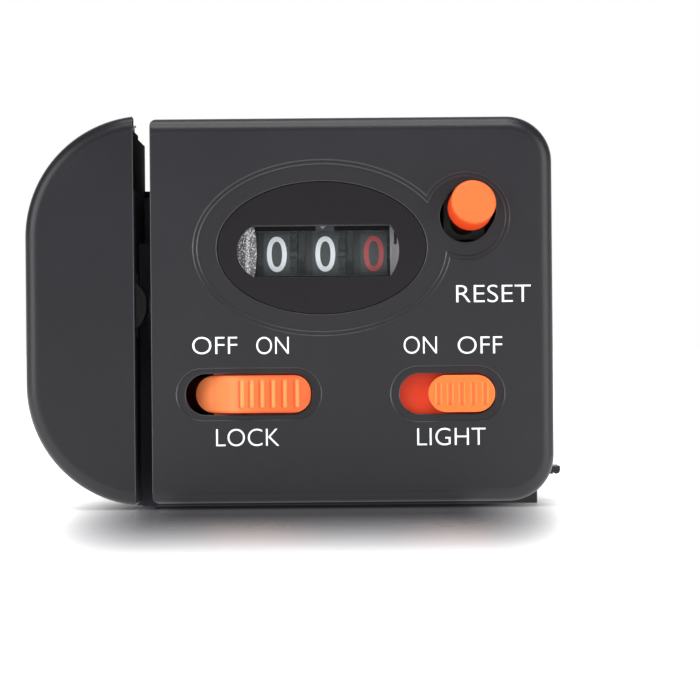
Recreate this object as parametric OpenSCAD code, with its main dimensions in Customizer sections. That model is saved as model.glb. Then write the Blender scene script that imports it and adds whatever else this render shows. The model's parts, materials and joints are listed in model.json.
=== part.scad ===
// Fishing line counter for a rod: a measuring wheel beside an open line slot
// turns three number drums, with a line lock, a zero reset, a display light
// and a clamp that holds the counter on the rod.
// The part stands on its bottom, the display faces -Y, and the rod runs along Z.

/* [Housing] */
// Width of the line guide wing
wing_w = 16.3; // [15.6:0.1:17]
// Width of the slot that the line runs through
slot_w = 2.5; // [2.3:0.1:3]
// Width of the main body
main_w = 59.9; // [59:0.1:66]
// Height of the rear cover
body_h = 58.3; // [57.8:0.1:64]
// Depth of the housing behind its front face
body_d = 27; // [26.8:0.1:31]
// Depth of the two front covers
front_d = 12; // [11.5:0.1:12.4]
// Thickness of the side walls
wall = 1.6; // [1.3:0.1:1.8]
// Thickness of the front walls
face_wall = 1.8; // [1.6:0.1:1.9]
// Thickness of the back wall
back_wall = 1.6; // [1.2:0.1:1.9]
// Radius of the right corners of the main body
corner_r = 6.8; // [5:0.1:7.5]
// Radius of the round outer corners of the wing
wing_r = 18.2; // [17.6:0.1:19]
// Rounding of the front edges
edge_r = 2; // [1:0.1:2]
// Rounding of the back edges
back_edge_r = 2.5; // [1.5:0.1:3]
// Height at which the main front cover starts
main_lift = 0.9; // [0.6:0.1:1.4]
// Radius of the main front cover's corners beside the slot
slot_corner_r = 1; // [0.4:0.1:1.5]
// Radius of the wing cover's corners beside the slot
wing_corner_r = 0.6; // [0.3:0.1:0.9]
// Height at which the wing cover starts
wing_lift = 0.5; // [0.2:0.1:1.2]
// Height of the wing cover above the rear cover
wing_rise = 0.6; // [0:0.1:0.8]

/* [Line slot] */
// Height of the ledge that closes the lower part of the slot
ledge_z = 40.1; // [38.8:0.1:42]
// Height above which the slot is open through the back
slot_open_z = 48.8; // [45:0.1:50]
// Thickness of the slot floor and the ledge
web_t = 1.2; // [1:0.1:1.3]
// Chamfer along the top of the wing's slot wall
slot_chamfer = 2.3; // [1:0.1:2.4]

/* [Display] */
// Width of the oval recess
recess_w = 38.4; // [36:0.1:39]
// Height of the oval recess
recess_h = 26.2; // [24.5:0.1:27]
// Radius of the recess around the reset button
recess_r = 6.55; // [6:0.05:7]
// Depth of the recess
recess_depth = 0.5; // [0.3:0.05:0.7]
// Width of the step around the recess
recess_step = 0.6; // [0.3:0.1:0.8]
// Width of the oval bezel
bezel_w = 31.2; // [30:0.1:32]
// Height of the oval bezel
bezel_h = 19.7; // [18.5:0.1:20.5]
// Depth of the bezel behind the recess floor
bezel_drop = 0.2; // [0.1:0.05:0.4]
// Width of the display window
window_w = 20.5; // [19:0.1:21]
// Height of the display window
window_h = 7.8; // [7:0.1:8.4]
// Thickness of the clear window
lens_t = 0.8; // [0.6:0.05:1]

/* [Counter] */
// Radius of the number drums
drum_r = 10.4; // [10:0.05:10.5]
// Width of the number band of a drum
drum_w = 3.9; // [3.7:0.05:4]
// Distance from one drum to the next
drum_pitch = 7.27; // [7.15:0.01:7.4]
// Distance of the drums' axis behind the front face
drum_y = 14.2; // [14.1:0.05:14.3]
// Diameter of the drum shaft
shaft_d = 2.4; // [2.2:0.1:2.8]
// Radius of the disc that locks a pinion
lock_disc_r = 8.1; // [7.8:0.05:8.2]
// Largest radius of the heart cams
cam_r = 5.4; // [5:0.05:5.5]
// Smallest radius of the heart cams
cam_low_r = 2.4; // [2.3:0.05:2.6]
// Thickness of the counter frame
frame_t = 1.2; // [1:0.1:1.3]
// Diameter of the pinion shaft
pinion_shaft_d = 1.8; // [1.6:0.1:2]

/* [Measuring wheel] */
// Line that one turn of the wheel measures
line_per_turn = 40; // [39.4:0.1:40.4]
// Width of the wheel
wheel_w = 4; // [3.6:0.1:4.1]
// Thickness of the rubber tyre
tyre_t = 1; // [0.8:0.1:1.4]
// Height of the wheel's axis
wheel_z = 30.5; // [30.3:0.1:30.9]
// How far the wheel stands into the slot
rim_reach = 0.6; // [0.4:0.1:0.8]
// Diameter of the wheel shaft
wheel_shaft_d = 1.8; // [1.6:0.1:2]
// Mean radius of the worm
worm_r = 1.95; // [1.95:0.01:2]
// Length of the worm
worm_len = 7; // [6:0.1:8]

/* [Line lock] */
// Width of the switch opening
lock_slot_w = 18.9; // [18.5:0.1:19.4]
// Height of the switch opening
lock_slot_h = 6.15; // [5.9:0.05:6.4]
// Travel of the lock
lock_travel = 2.2; // [1.8:0.1:2.3]
// Height of the switch above the bottom
lock_z = 17.15; // [16.9:0.05:17.4]
// How far the knobs stand in front of the face
knob_proud = 1; // [0.6:0.1:1.4]
// Radius of the pinch roller
roller_r = 4.4; // [4:0.1:4.6]
// Gap that the closed lock leaves for the line
nip_gap = 0.3; // [0.2:0.05:0.5]
// Diameter of the pinch pin
pinch_pin_d = 1.6; // [1.4:0.1:1.8]
// Thickness of the lock arm
arm_t = 1.6; // [1.2:0.1:1.8]

/* [Reset] */
// Diameter of the reset button
cap_d = 6.7; // [6.4:0.1:6.8]
// Length of the reset button's cap
cap_len = 4; // [3:0.1:5]
// Diameter of the button's stem
stem_d = 4; // [3.4:0.1:4.2]
// Upward tilt of the button
cap_tilt = 15; // [12:0.5:16]
// Sideways lean of the button
cap_lean = 7.5; // [5:0.5:8]
// Diameter of the hole in the front
reset_hole_d = 7.8; // [7.7:0.05:8.2]
// Diameter of the rocker's shaft
reset_shaft_d = 1.6; // [1.4:0.1:1.8]

/* [Light] */
// Width of the switch opening
light_slot_w = 14.4; // [14.1:0.1:14.8]
// Height of the switch opening
light_slot_h = 6.06; // [5.9:0.02:6.3]
// Travel of the light switch
light_travel = 4.1; // [3.4:0.1:4.2]
// Height of the switch above the bottom
light_z = 17; // [16.9:0.05:17.2]
// Length of the raised knob
light_knob_w = 9.9; // [9.4:0.1:10]
// Thickness of the circuit board
board_t = 1; // [0.8:0.1:1.4]
// Diameter of the lamp
lamp_d = 3; // [2.6:0.1:3.2]

/* [Battery] */
// Diameter of a button cell
cell_d = 9.5; // [9.3:0.1:9.7]
// Thickness of a button cell
cell_h = 3.6; // [3.2:0.1:3.8]
// How far the tray's lip stands out of the bay
lip_w = 3.8; // [3:0.1:5]
// Wall of the battery bay
bay_wall = 0.9; // [0.8:0.05:1.1]

/* [Rod clamp] */
// Diameter of the rod
rod_d = 14; // [13.4:0.1:14.4]
// Length of the saddle along the rod
saddle_len = 22; // [20:0.5:24]
// Thickness of the rubber pads
pad_t = 1; // [0.8:0.1:1.2]
// Thickness of the bracket's base
base_t = 2.2; // [2:0.1:2.6]
// Distance of the rod's axis behind the back wall
rod_reach = 10; // [9.8:0.1:10.6]
// Diameter of the thumb screw
thumb_d = 4; // [3.6:0.1:4.4]
// Diameter of the thumb screw's knob
knob_d = 15; // [12:0.5:16]

/* [Screws and fits] */
// Diameter of the cover screws
screw_d = 2; // [1.8:0.1:2.2]
// Diameter of the cover screws' heads
head_d = 3.8; // [3.4:0.1:4]
// Diameter of the small screws inside
small_screw_d = 1.6; // [1.4:0.1:1.8]
// Radial clearance of turning fits
run_fit = 0.05; // [0.03:0.01:0.07]
// Radial clearance of fixed fits
seat_fit = 0.01; // [0.01:0.01:0.03]
// Gap beside sliding pieces
slide_gap = 0.15; // [0.1:0.05:0.2]

/* [Hidden] */
$fn = 64;

body_grey = [0.24, 0.24, 0.26];
dark_grey = [0.16, 0.16, 0.17];
bezel_grey = [0.2, 0.17, 0.19];
orange = [1, 0.45, 0.2];
steel = [0.75, 0.76, 0.78];
brass = [0.8, 0.65, 0.3];
nylon = [0.9, 0.9, 0.86];
rubber = [0.1, 0.1, 0.1];
board_green = [0.1, 0.4, 0.2];

// Places along the width
u_main = wing_w + slot_w;
u_right = u_main + main_w;
bay_u1 = u_right - 1.9;
total_w = bay_u1 + lip_w;
// Depths of the inner faces
back_in = body_d - back_wall;
wheel_y0 = face_wall + 2.5;
wheel_y1 = wheel_y0 + wheel_w;

// Measuring wheel
wheel_r = line_per_turn / (2 * PI);
wheel_u = u_main - rim_reach + wheel_r;
wheel_sr = wheel_shaft_d / 2;

// Worm and worm gear: one start against 25 teeth
gear_teeth = 25;
gear_pitch_r = 5.6;
worm_lead = 2 * PI * gear_pitch_r / gear_teeth;
worm_throw = 0.38;
worm_y0 = drum_y - worm_len / 2;

// Drums
drum_z = wheel_z + gear_pitch_r + worm_r;
drum_u0 = wheel_u + 12.964;
function drum_u(i) = drum_u0 + i * drum_pitch;
shaft_r = shaft_d / 2;
half_w = drum_w / 2;
gear_w = 1;
disc_w = 1;
cam_w = 1.1;
cam_u = half_w + disc_w;
tooth_m = 0.9;
ring_teeth = 20;
pinion_teeth = 8;
ring_r = ring_teeth * tooth_m / 2;
pinion_r = pinion_teeth * tooth_m / 2;
pinion_z = drum_z - ring_r - pinion_r;
pinion_side = 0.19;
pinion_sr = pinion_shaft_d / 2;

// Counter frame
plate_u0 = drum_u0 - cam_u - cam_w - 0.48 - frame_t;
plate_u1 = drum_u(2) + half_w + 1.68;
frame_y1 = drum_y + 8.2;
bar_y0 = frame_y1 - 1.6;
frame_z0 = pinion_z - 5.2;
frame_z1 = drum_z + 15.95;
frame_screw_at = [for (u = [plate_u0 + 3.4, plate_u1 - 2], z = [frame_z0 + 2.4, frame_z1 - 2.4]) [u, z]];

// Display
display_u = drum_u(1) - 0.5;
display_z = drum_z + 0.83;
bezel_y0 = recess_depth + bezel_drop;
bezel_y1 = face_wall + 0.8;
flange_w = 1.2;
window_u = drum_u(1) - 0.47;
window_z = drum_z + 0.38;
facet_left = 2.4;
facet_right = 1.25;
// Radius of a facet's outline, which ends just inside the window's corners
function facet_r(w) = (pow(window_h / 2 - 0.1, 2) + pow(w + 0.05, 2)) / (2 * (w + 0.05));

// Line lock
lock_u = u_main + 14.48;
lock_u0 = lock_u - lock_slot_w / 2;
lock_u1 = lock_u + lock_slot_w / 2;
knob_gap = 0.3;
lock_knob_u1 = lock_u1 - 0.25;
lock_knob_u0 = lock_knob_u1 - 17.25;
plate_y0 = face_wall + slide_gap;
plate_t = 1.8;
plate_y1 = plate_y0 + plate_t;
lock_plate_h = lock_slot_h + 1.55;
lock_plate_u0 = lock_knob_u0 + lock_slot_h / 2 - knob_gap;
lock_plate_u1 = lock_u1 + lock_travel + 0.6;
pin_u = wheel_u - wheel_r - nip_gap - roller_r;
pin_r = pinch_pin_d / 2;
arm_y0 = front_d + web_t + 0.4;
arm_y1 = arm_y0 + arm_t;
arm_u = lock_knob_u0 + 3.3;
arm_z0 = lock_z - 2.25;
arm_z1 = lock_z + 2.55;
lock_screw_at = [for (u = [arm_u + 4, arm_u + 12]) [u, lock_z]];

// Reset rocker
pivot_y = face_wall + 3.2;
pivot_z = body_h - 4.9;
pivot_r = reset_shaft_d / 2;
reset_u = u_right - 12.93;
reset_z = 43.4;
cap_dir = [sin(cap_lean) * cos(cap_tilt), -cos(cap_lean) * cos(cap_tilt), sin(cap_tilt)];
cap_seat = [u_right - 12.35, -1.1, reset_z + 0.97];
cap_round = 0.6;
lever_u0 = drum_u0 - cam_u - cam_w - 0.05;
lever_u1 = reset_u + 4.2;
lever_y0 = pivot_y - 1.7;
lever_y1 = pivot_y + 2.2;
lever_z0 = pivot_z - 2;
lever_z1 = pivot_z + 1.8;
hammer_y1 = pivot_y + 3.5;
hammer_w = 0.9;
arm_in_y0 = pivot_y - 0.6;
arm_in_y1 = pivot_y + 1.8;

// Light
light_u = u_right - 15.82;
light_u0 = light_u - light_slot_w / 2;
light_u1 = light_u + light_slot_w / 2;
light_knob_u1 = light_u1 - 0.19;
light_knob_u = light_knob_u1 - light_knob_w / 2;
light_knob_r = light_slot_h / 2 - 0.29;
light_plate_t = 1.4;
light_plate_h = light_slot_h + 1.74;
light_plate_u0 = light_u0 - 1;
light_plate_u1 = light_u1 + light_travel + 0.5;
board_y0 = face_wall + 6.8;
board_y1 = board_y0 + board_t;
board_u0 = u_right - 23.2;
board_u1 = u_right - 3.2;
board_z0 = light_z - 7.5;
board_z1 = light_z + 7.6;
board_screw_at = [[board_u0 + 2.2, board_z0 + 1.8], [board_u1 - 2.4, board_z1 - 1.6]];
switch_y0 = face_wall + 3.4;
act_w = 2;
act_h = 2.2;
lamp_r = lamp_d / 2;
lamp_y = face_wall + 4.4;
lamp_z = light_z + 14.5;
lamp_u = u_right - 19.9;

// Battery bay
bay_y0 = front_d;
bay_z1 = 2 * bay_wall + 5.2;
bay_in_y0 = bay_y0 + 1.4;
bay_in_z1 = bay_z1 - 1;
tray_gap = 0.15;
tray_z0 = bay_wall + tray_gap;
bridge_z = tray_z0 + 0.6;
cell_z0 = bridge_z + 0.2;
cell_z1 = cell_z0 + cell_h;
cell_y = (bay_in_y0 + back_in) / 2;
cell_step = cell_d + 0.5;
cell_at = [bay_u1 - 6.8 - cell_step, bay_u1 - 6.8];
tray_u0 = cell_at[0] - cell_d / 2 - 0.95;
bay_in_u0 = tray_u0 - 0.5;
bay_u0 = bay_in_u0 - 1.4;
strip_z0 = cell_z1 + 0.1;

// Rod clamp
rod_r = rod_d / 2;
rod_u = u_main + 23.7;
rod_y = body_d + rod_reach;
rod_z = 30;
base_y1 = body_d + base_t;
pad_r = rod_r + pad_t;
shell_r = pad_r + 2.5;
shoe_pad_r = rod_r + 0.15;
shoe_u1 = rod_u + 11.3;
shoe_h = 16;
stop_u0 = rod_u + 14;
stop_u1 = stop_u0 + 5;
nut_w = 3.2;
nut_r = thumb_d * 1.01;
thumb_r = thumb_d / 2;
thumb_y = rod_y;
thumb_knob_u0 = stop_u1 + 5.3;
thumb_knob_w = 6;
saddle_u0 = rod_u - 11;
saddle_u1 = stop_u1 + 1;
saddle_z0 = rod_z - 20;
saddle_z1 = rod_z + 20;
saddle_screw_at = [for (u = [saddle_u0 + 3.5, saddle_u1 - 3.5], z = [saddle_z0 + 3, saddle_z1 - 3]) [u, z]];

// Screws
screw_r = screw_d / 2;
head_r = head_d / 2;
head_h = 1.6;
post_r = screw_r + 1.4;
rear_post_r = head_r + 1.1;
seat_y = front_d + 4.5;
screw_tip = face_wall + 3.4;
main_posts = [
    [u_main + 5.2, body_h - 4.8], [u_right - 5.2, body_h - 5.8], [u_main + 5.2, 6],
    [u_main + 32.2, 10.2], [u_right - 5, 29]];
wing_posts = [[wing_w - 6.3, body_h - 8.3], [wing_w - 6.3, 9.2]];
small_r = small_screw_d / 2;
small_head_r = small_r * 2;
small_head_h = 1.2;

// The frame: middle of the width, middle of the depth, bottom
front_tip = -cap_seat[1] - (cap_len - cap_round) * cap_dir[1]
    + (cap_d / 2 - cap_round) * sqrt(1 - cap_dir[1] * cap_dir[1]) + cap_round;
back_tip = rod_y + knob_d / 2;
mid_y = (back_tip - front_tip) / 2;
module place() translate([-total_w / 2, -mid_y, 0]) children();

module upright(y0, y1) translate([0, y1, 0]) rotate([90, 0, 0]) linear_extrude(y1 - y0) children();
module across(x0, x1) translate([x0, 0, 0]) rotate([90, 0, 90]) linear_extrude(x1 - x0) children();
module level(z0, z1) translate([0, 0, z0]) linear_extrude(z1 - z0) children();
module block(x0, x1, y0, y1, z0, z1) translate([x0, y0, z0]) cube([x1 - x0, y1 - y0, z1 - z0]);
module rod_x(x0, x1, y, z, r) translate([x0, y, z]) rotate([0, 90, 0]) cylinder(h = x1 - x0, r = r);
module rod_y(y0, y1, x, z, r) translate([x, y1, z]) rotate([90, 0, 0]) cylinder(h = y1 - y0, r = r);
module rod_z(z0, z1, x, y, r) translate([x, y, z0]) cylinder(h = z1 - z0, r = r);

// Outline with four corner radii, from the lower left corner anticlockwise
module outline(x0, x1, z0, z1, r) {
    polygon([
        [x0 + r[0], z0], [x1 - r[1], z0], [x1, z0 + r[1]], [x1, z1 - r[2]],
        [x1 - r[2], z1], [x0 + r[3], z1], [x0, z1 - r[3]], [x0, z0 + r[0]]]);
    translate([x0 + r[0], z0 + r[0]]) circle(r[0]);
    translate([x1 - r[1], z0 + r[1]]) circle(r[1]);
    translate([x1 - r[2], z1 - r[2]]) circle(r[2]);
    translate([x0 + r[3], z1 - r[3]]) circle(r[3]);
}

// Upright ellipse of fine straight sides
module oval(w, h) polygon([for (i = [0:119]) [w / 2 * cos(3 * i), h / 2 * sin(3 * i)]]);

module stadium(w, h) {
    square([w - h, h], center = true);
    for (s = [-1, 1]) translate([s * (w - h) / 2, 0]) circle(h / 2);
}

// Section of a plate whose outer front edge is rounded: across it, then into its depth
module left_section(w, depth, f) {
    translate([f, 0]) square([w - f, depth]);
    translate([0, f]) square([w, depth - f]);
    translate([f, f]) circle(f, $fn = 32);
}
module right_section(w, depth, f) {
    square([w - f, depth]);
    translate([0, f]) square([w, depth - f]);
    translate([w - f, f]) circle(f, $fn = 32);
}
module low_section(w, depth, f) {
    translate([0, f]) square([depth, w - f]);
    translate([f, 0]) square([depth - f, w]);
    translate([f, f]) circle(f, $fn = 32);
}
module high_section(w, depth, f) {
    square([depth, w - f]);
    translate([f, 0]) square([depth - f, w]);
    translate([f, w - f]) circle(f, $fn = 32);
}

// Round corner of such a plate, as a quarter turn from angle a
module edge_corner(x, z, r, a, depth, f) translate([x, 0, z]) rotate([-90, 0, 0]) rotate([0, 0, a])
    rotate_extrude(angle = 90) right_section(r, depth, f);

// Middle of the plate, with its rounded bottom and top edges
module edge_strip(x0, x1, z0, z1, r, depth, f) {
    translate([0, 0, z0]) across(x0, x1) low_section(r, depth, f);
    translate([0, 0, z1 - r]) across(x0, x1) high_section(r, depth, f);
    block(x0, x1, 0, depth, z0 + r, z1 - r);
}

// Plate with a rounded front edge at y = 0 and round right corners, from x0
module round_right(x0, x1, z0, z1, r, depth, f) {
    edge_corner(x1 - r, z0 + r, r, 0, depth, f);
    edge_corner(x1 - r, z1 - r, r, -90, depth, f);
    translate([x1 - r, 0, z0 + r]) linear_extrude(z1 - z0 - 2 * r) right_section(r, depth, f);
    edge_strip(x0, x1 - r, z0, z1, r, depth, f);
}

// The same plate with round left corners, up to x1
module round_left(x0, x1, z0, z1, r, depth, f) {
    edge_corner(x0 + r, z0 + r, r, 90, depth, f);
    edge_corner(x0 + r, z1 - r, r, 180, depth, f);
    translate([x0, 0, z0 + r]) linear_extrude(z1 - z0 - 2 * r) left_section(r, depth, f);
    if (x1 > x0 + r) edge_strip(x0 + r, x1, z0, z1, r, depth, f);
}

// Self tapping screw with its head's outer face at y0, pointing to -Y when dir is -1
module screw(y0, y1, u, z, r, hr, hh, dir) {
    if (dir < 0) {
        rod_y(y1 - hh, y1, u, z, hr);
        rod_y(y0, y1 - hh, u, z, r);
    } else {
        rod_y(y0, y0 + hh, u, z, hr);
        rod_y(y0 + hh, y1, u, z, r);
    }
}

module front_cover() place() color(body_grey) difference() {
    union() {
        difference() {
            round_right(u_main, u_right, main_lift, body_h, corner_r, front_d, edge_r);
            upright(face_wall, front_d + 1)
                outline(u_main + wall, u_right - wall, main_lift + wall, body_h - wall,
                    [1, corner_r - wall, corner_r - wall, 1]);
        }
        for (p = main_posts) rod_y(face_wall, front_d, p[0], p[1], post_r);
        // Boss of the front bush
        rod_y(face_wall, wheel_y0 - 0.5, wheel_u, wheel_z, 3.2);
        // Ears of the rocker's shaft
        for (u = [lever_u0 - slide_gap - 1.6, lever_u1 + slide_gap])
            block(u, u + 1.6, face_wall, pivot_y + 2.2, pivot_z - 2.2, pivot_z + 2.2);
        // Stops that keep the reset spring in place
        for (u = [spring_u0 - 0.9, spring_u1 + 0.1])
            block(u, u + 0.8, face_wall, face_wall + 0.7, spring_z0, spring_z1);
        // Rails of the two sliders
        rails(u_main + wall, lock_plate_u1 + 0.2, lock_z, lock_plate_h, plate_t);
        rails(light_plate_u0 - light_travel - 0.2, light_plate_u1 + 0.2, light_z, light_plate_h, light_plate_t);
        // Bosses of the circuit board
        for (p = board_screw_at) rod_y(face_wall, board_y0, p[0], p[1], small_r + 0.8);
    }
    // Small round corners beside the slot
    slot_corner(u_main, main_lift, 1, 1, slot_corner_r);
    slot_corner(u_main, body_h, 1, -1, slot_corner_r);
    // Recess in two steps
    for (k = [0, 1]) upright(-1, recess_depth * (k + 1) / 2) recess_outline(k * recess_step);
    upright(-1, face_wall + 1) translate([display_u, display_z]) bezel_oval(2 * seat_fit + 0.08);
    for (k = [0, 0.5, 1])
        rod_y(-1, face_wall + 0.5, reset_u + 0.03 + 0.65 * k, reset_z + 1.05 * k, reset_hole_d / 2);
    upright(-1, face_wall + 1) translate([lock_u, lock_z]) stadium(lock_slot_w, lock_slot_h);
    upright(-1, face_wall + 1) translate([light_u, light_z]) stadium(light_slot_w, light_slot_h);
    upright(-1, 0.3) translate([lock_u, lock_z]) stadium(lock_slot_w + 2.7, lock_slot_h + 1.6);
    upright(-1, 0.3) translate([light_u, light_z]) stadium(light_slot_w + 2.6, light_slot_h + 2.2);
    // Window for the measuring wheel in the slot wall
    block(u_main - 1, u_main + wall + 0.01, wheel_y0 - 0.4, wheel_y1 + 0.4,
        wheel_z - wheel_r - 0.5, wheel_z + wheel_r + 0.5);
    rod_y(face_wall + 0.3, wheel_y0, wheel_u, wheel_z, bush_r + seat_fit);
    rod_x(lever_u0 - 3, lever_u1 + slide_gap + 1.6, pivot_y, pivot_z, pivot_r + seat_fit);
    for (p = main_posts) rod_y(screw_tip - 0.4, front_d + 1, p[0], p[1], screw_r + seat_fit);
    for (p = board_screw_at) rod_y(face_wall + 0.8, board_y0 + 1, p[0], p[1], small_r + seat_fit);
}

// Rounds a cover's corner beside the slot in five short sides. The cover lies
// to the right of the corner when side is 1, and above it when up is 1.
module slot_corner(u, z, side, up, r) upright(-1, front_d + 1) polygon(concat(
    [[u - side, z - up], [u + side * r, z - up]],
    [for (a = [90:-18:0]) [u + side * r * (1 - cos(a)), z + up * r * (1 - sin(a))]],
    [[u - side, z + up * r]]));

// Recess around the display and the reset button, drawn in by d
module recess_outline(d) {
    translate([display_u, display_z]) oval(recess_w - 2 * d, recess_h - 2 * d);
    translate([reset_u, reset_z]) circle(recess_r - d);
}

// Oval of the bezel, grown by d
module bezel_oval(d) oval(bezel_w + 2 * d, bezel_h + 2 * d);

// Two rails with lips that hold a slider's plate behind the front wall
module rails(u0, u1, z, h, t) {
    for (s = [-1, 1]) {
        za = z + s * (h / 2 + slide_gap);
        zb = z + s * (h / 2 + slide_gap + 1);
        zc = z + s * (h / 2 - 0.7);
        block(u0, u1, face_wall, face_wall + t + 3 * slide_gap, min(za, zb), max(za, zb));
        block(u0, u1, face_wall + t + 2 * slide_gap, face_wall + t + 2 * slide_gap + 0.7, min(zc, zb), max(zc, zb));
    }
}

// Prism that chamfers the top of the wing's slot wall
module slot_chamfer_cut(y0, y1, top) upright(y0, y1)
    polygon([[wing_w - slot_chamfer, top], [wing_w + 1, top - slot_chamfer - 1],
        [wing_w + 1, top + 1], [wing_w - slot_chamfer, top + 1]]);

module wing_cover() place() color(body_grey) difference() {
    union() {
        difference() {
            intersection() {
                round_left(0, wing_w, wing_lift, body_h + wing_rise, wing_r, front_d, edge_r);
                block(-1, wing_w, -1, front_d, 0, body_h + 2);
            }
            difference() {
                upright(face_wall, front_d + 1)
                    outline(wall, 2 * wing_r + 1, wing_lift + wall, body_h + wing_rise - wall,
                        [for (i = [0:3]) wing_r - wall]);
                block(wing_w - wall, wing_w + 40, 0, front_d + 2, 0, body_h + 2);
            }
        }
        for (p = wing_posts) rod_y(face_wall, front_d, p[0], p[1], post_r);
    }
    slot_chamfer_cut(edge_r + 0.2, front_d + 1, body_h + wing_rise);
    // Small round corners beside the slot
    slot_corner(wing_w, wing_lift, -1, 1, wing_corner_r);
    slot_corner(wing_w, body_h + wing_rise, -1, -1, wing_corner_r);
    // Window for the pinch roller in the slot wall
    block(wing_w - wall - 0.01, wing_w + 1, wheel_y0 - 0.4, wheel_y1 + 0.4,
        wheel_z - roller_r - 0.5, wheel_z + roller_r + 0.5);
    for (p = wing_posts) rod_y(screw_tip - 0.4, front_d + 1, p[0], p[1], screw_r + seat_fit);
}

bush_r = wheel_sr + 0.8;
spring_u0 = drum_u(0) + 4;
spring_u1 = spring_u0 + 16;
spring_z0 = pivot_z + 0.5;
spring_z1 = pivot_z + 1.7;

module rear_cover() place() color(body_grey) difference() {
    union() {
        difference() {
            union() {
                translate([0, body_d, body_h]) rotate([180, 0, 0]) {
                    round_left(0, u_main + 10, 0, body_h, wing_r, body_d - front_d, back_edge_r);
                    round_right(u_main + 10, u_right, 0, body_h, corner_r, body_d - front_d, back_edge_r);
                }
            }
            upright(front_d - 1, back_in)
                outline(wall, u_right - wall, wall, body_h - wall,
                    [wing_r - wall, corner_r - wall, corner_r - wall, wing_r - wall]);
        }
        // Floor of the slot, its ledge and the slot walls above the ledge
        block(wing_w - wall, u_main + wall, front_d, front_d + web_t, wall / 2, ledge_z);
        block(wing_w - wall, u_main + wall, front_d, back_in + back_wall / 2, ledge_z - web_t, ledge_z);
        for (u = [wing_w - wall, u_main])
            block(u, u + wall, front_d, back_in + back_wall / 2, ledge_z - web_t / 2, body_h - wall / 2);
        // Battery bay
        block(bay_u0, bay_u1, bay_y0, body_d - back_edge_r, 0, bay_z1);
        for (p = concat(main_posts, wing_posts)) rod_y(front_d, back_in, p[0], p[1], rear_post_r);
        rod_y(front_d + 9.4, back_in, wheel_u, wheel_z, bush_r + 1.3);
        for (p = frame_screw_at) rod_y(frame_y1, back_in, p[0], p[1], small_r + 1.2);
        for (p = saddle_screw_at) rod_y(back_in - 2.5, back_in, p[0], p[1], screw_r + 1.2);
    }
    block(wing_w, u_main, front_d - 1, back_in, ledge_z, body_h + 1);
    block(wing_w, u_main, front_d - 1, body_d + 1, slot_open_z, body_h + 1);
    slot_chamfer_cut(front_d - 1, body_d + 1, body_h);
    block(bay_in_u0, u_right + 1, bay_in_y0, back_in, bay_wall, bay_in_z1);
    for (u = cell_at) block(u - 1.6, u + 1.6, bay_in_y0 + 0.5, bay_in_y0 + 1.2, bay_in_z1 - 0.1, bay_z1 + 0.1);
    for (p = concat(main_posts, wing_posts)) {
        rod_y(front_d - 1, body_d, p[0], p[1], screw_r + 0.1);
        rod_y(seat_y, body_d + 1, p[0], p[1], head_r + 0.15);
    }
    rod_y(front_d, front_d + 12.2, wheel_u, wheel_z, bush_r + seat_fit);
    for (p = frame_screw_at) rod_y(frame_y1 - 1, back_in - 0.1, p[0], p[1], small_r + seat_fit);
    for (p = saddle_screw_at) rod_y(back_in - 3, body_d + 1, p[0], p[1], screw_r + seat_fit);
    rod_z(guide_z0, body_h, guide_u, guide_y, guide_r + seat_fit);
}

guide_r = 0.25;
guide_u = wing_w - 0.9;
guide_y = front_d + 2;
guide_z0 = body_h - 3.6;

module line_guide_pin() place() color(steel) {
    rod_z(guide_z0, body_h - 0.3, guide_u, guide_y, guide_r);
    rod_z(body_h - 0.3, body_h, guide_u, guide_y, guide_r + 0.2);
}

module cover_screws() place() color(steel)
    for (p = concat(main_posts, wing_posts))
        screw(screw_tip, seat_y + head_h, p[0], p[1], screw_r, head_r, head_h, -1);

module display_bezel() place() color(bezel_grey) difference() {
    translate([display_u, 0, display_z]) {
        upright(bezel_y0, bezel_y1) bezel_oval(0);
        upright(face_wall, bezel_y1) bezel_oval(flange_w);
    }
    // Window, and at each end a sloped facet with a round outline
    translate([window_u, 0, window_z]) {
        upright(bezel_y0 - 1, bezel_y1 + 1) square([window_w, window_h], center = true);
        intersection() {
            translate([0, 0, -window_h / 2]) linear_extrude(window_h) polygon([
                [-window_w / 2 - facet_left, bezel_y0 - 0.1], [window_w / 2 + facet_right, bezel_y0 - 0.1],
                [window_w / 2, bezel_y1 + 0.1], [-window_w / 2, bezel_y1 + 0.1]]);
            upright(bezel_y0 - 1, bezel_y1 + 1) {
                translate([-window_w / 2 - facet_left + facet_r(facet_left), 0]) circle(facet_r(facet_left));
                translate([window_w / 2 + facet_right - facet_r(facet_right), 0]) circle(facet_r(facet_right));
            }
        }
    }
}

module display_lens() place() color([0.8, 0.85, 0.88, 0.4])
    upright(bezel_y1, bezel_y1 + lens_t) translate([window_u, window_z])
        square([window_w + 3, window_h + 2], center = true);

// Gear outline with straight sided teeth
module gear_outline(n, r_root, r_pitch, r_tip, w_root, w_pitch, w_tip, phase) {
    circle(r_root);
    for (i = [0:n - 1]) rotate(phase + i * 360 / n)
        polygon([[r_root - 0.4, -w_root], [r_pitch, -w_pitch], [r_tip, -w_tip],
            [r_tip, w_tip], [r_pitch, w_pitch], [r_root - 0.4, w_root]]);
}

// Heart cam, lowest towards -Y
module heart() polygon([for (i = [0:47])
    let (a = i * 7.5, f = 1 - abs(a - 180) / 180)
    (cam_low_r + (cam_r - cam_low_r) * f) * [cos(180 + a), sin(180 + a)]]);

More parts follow.
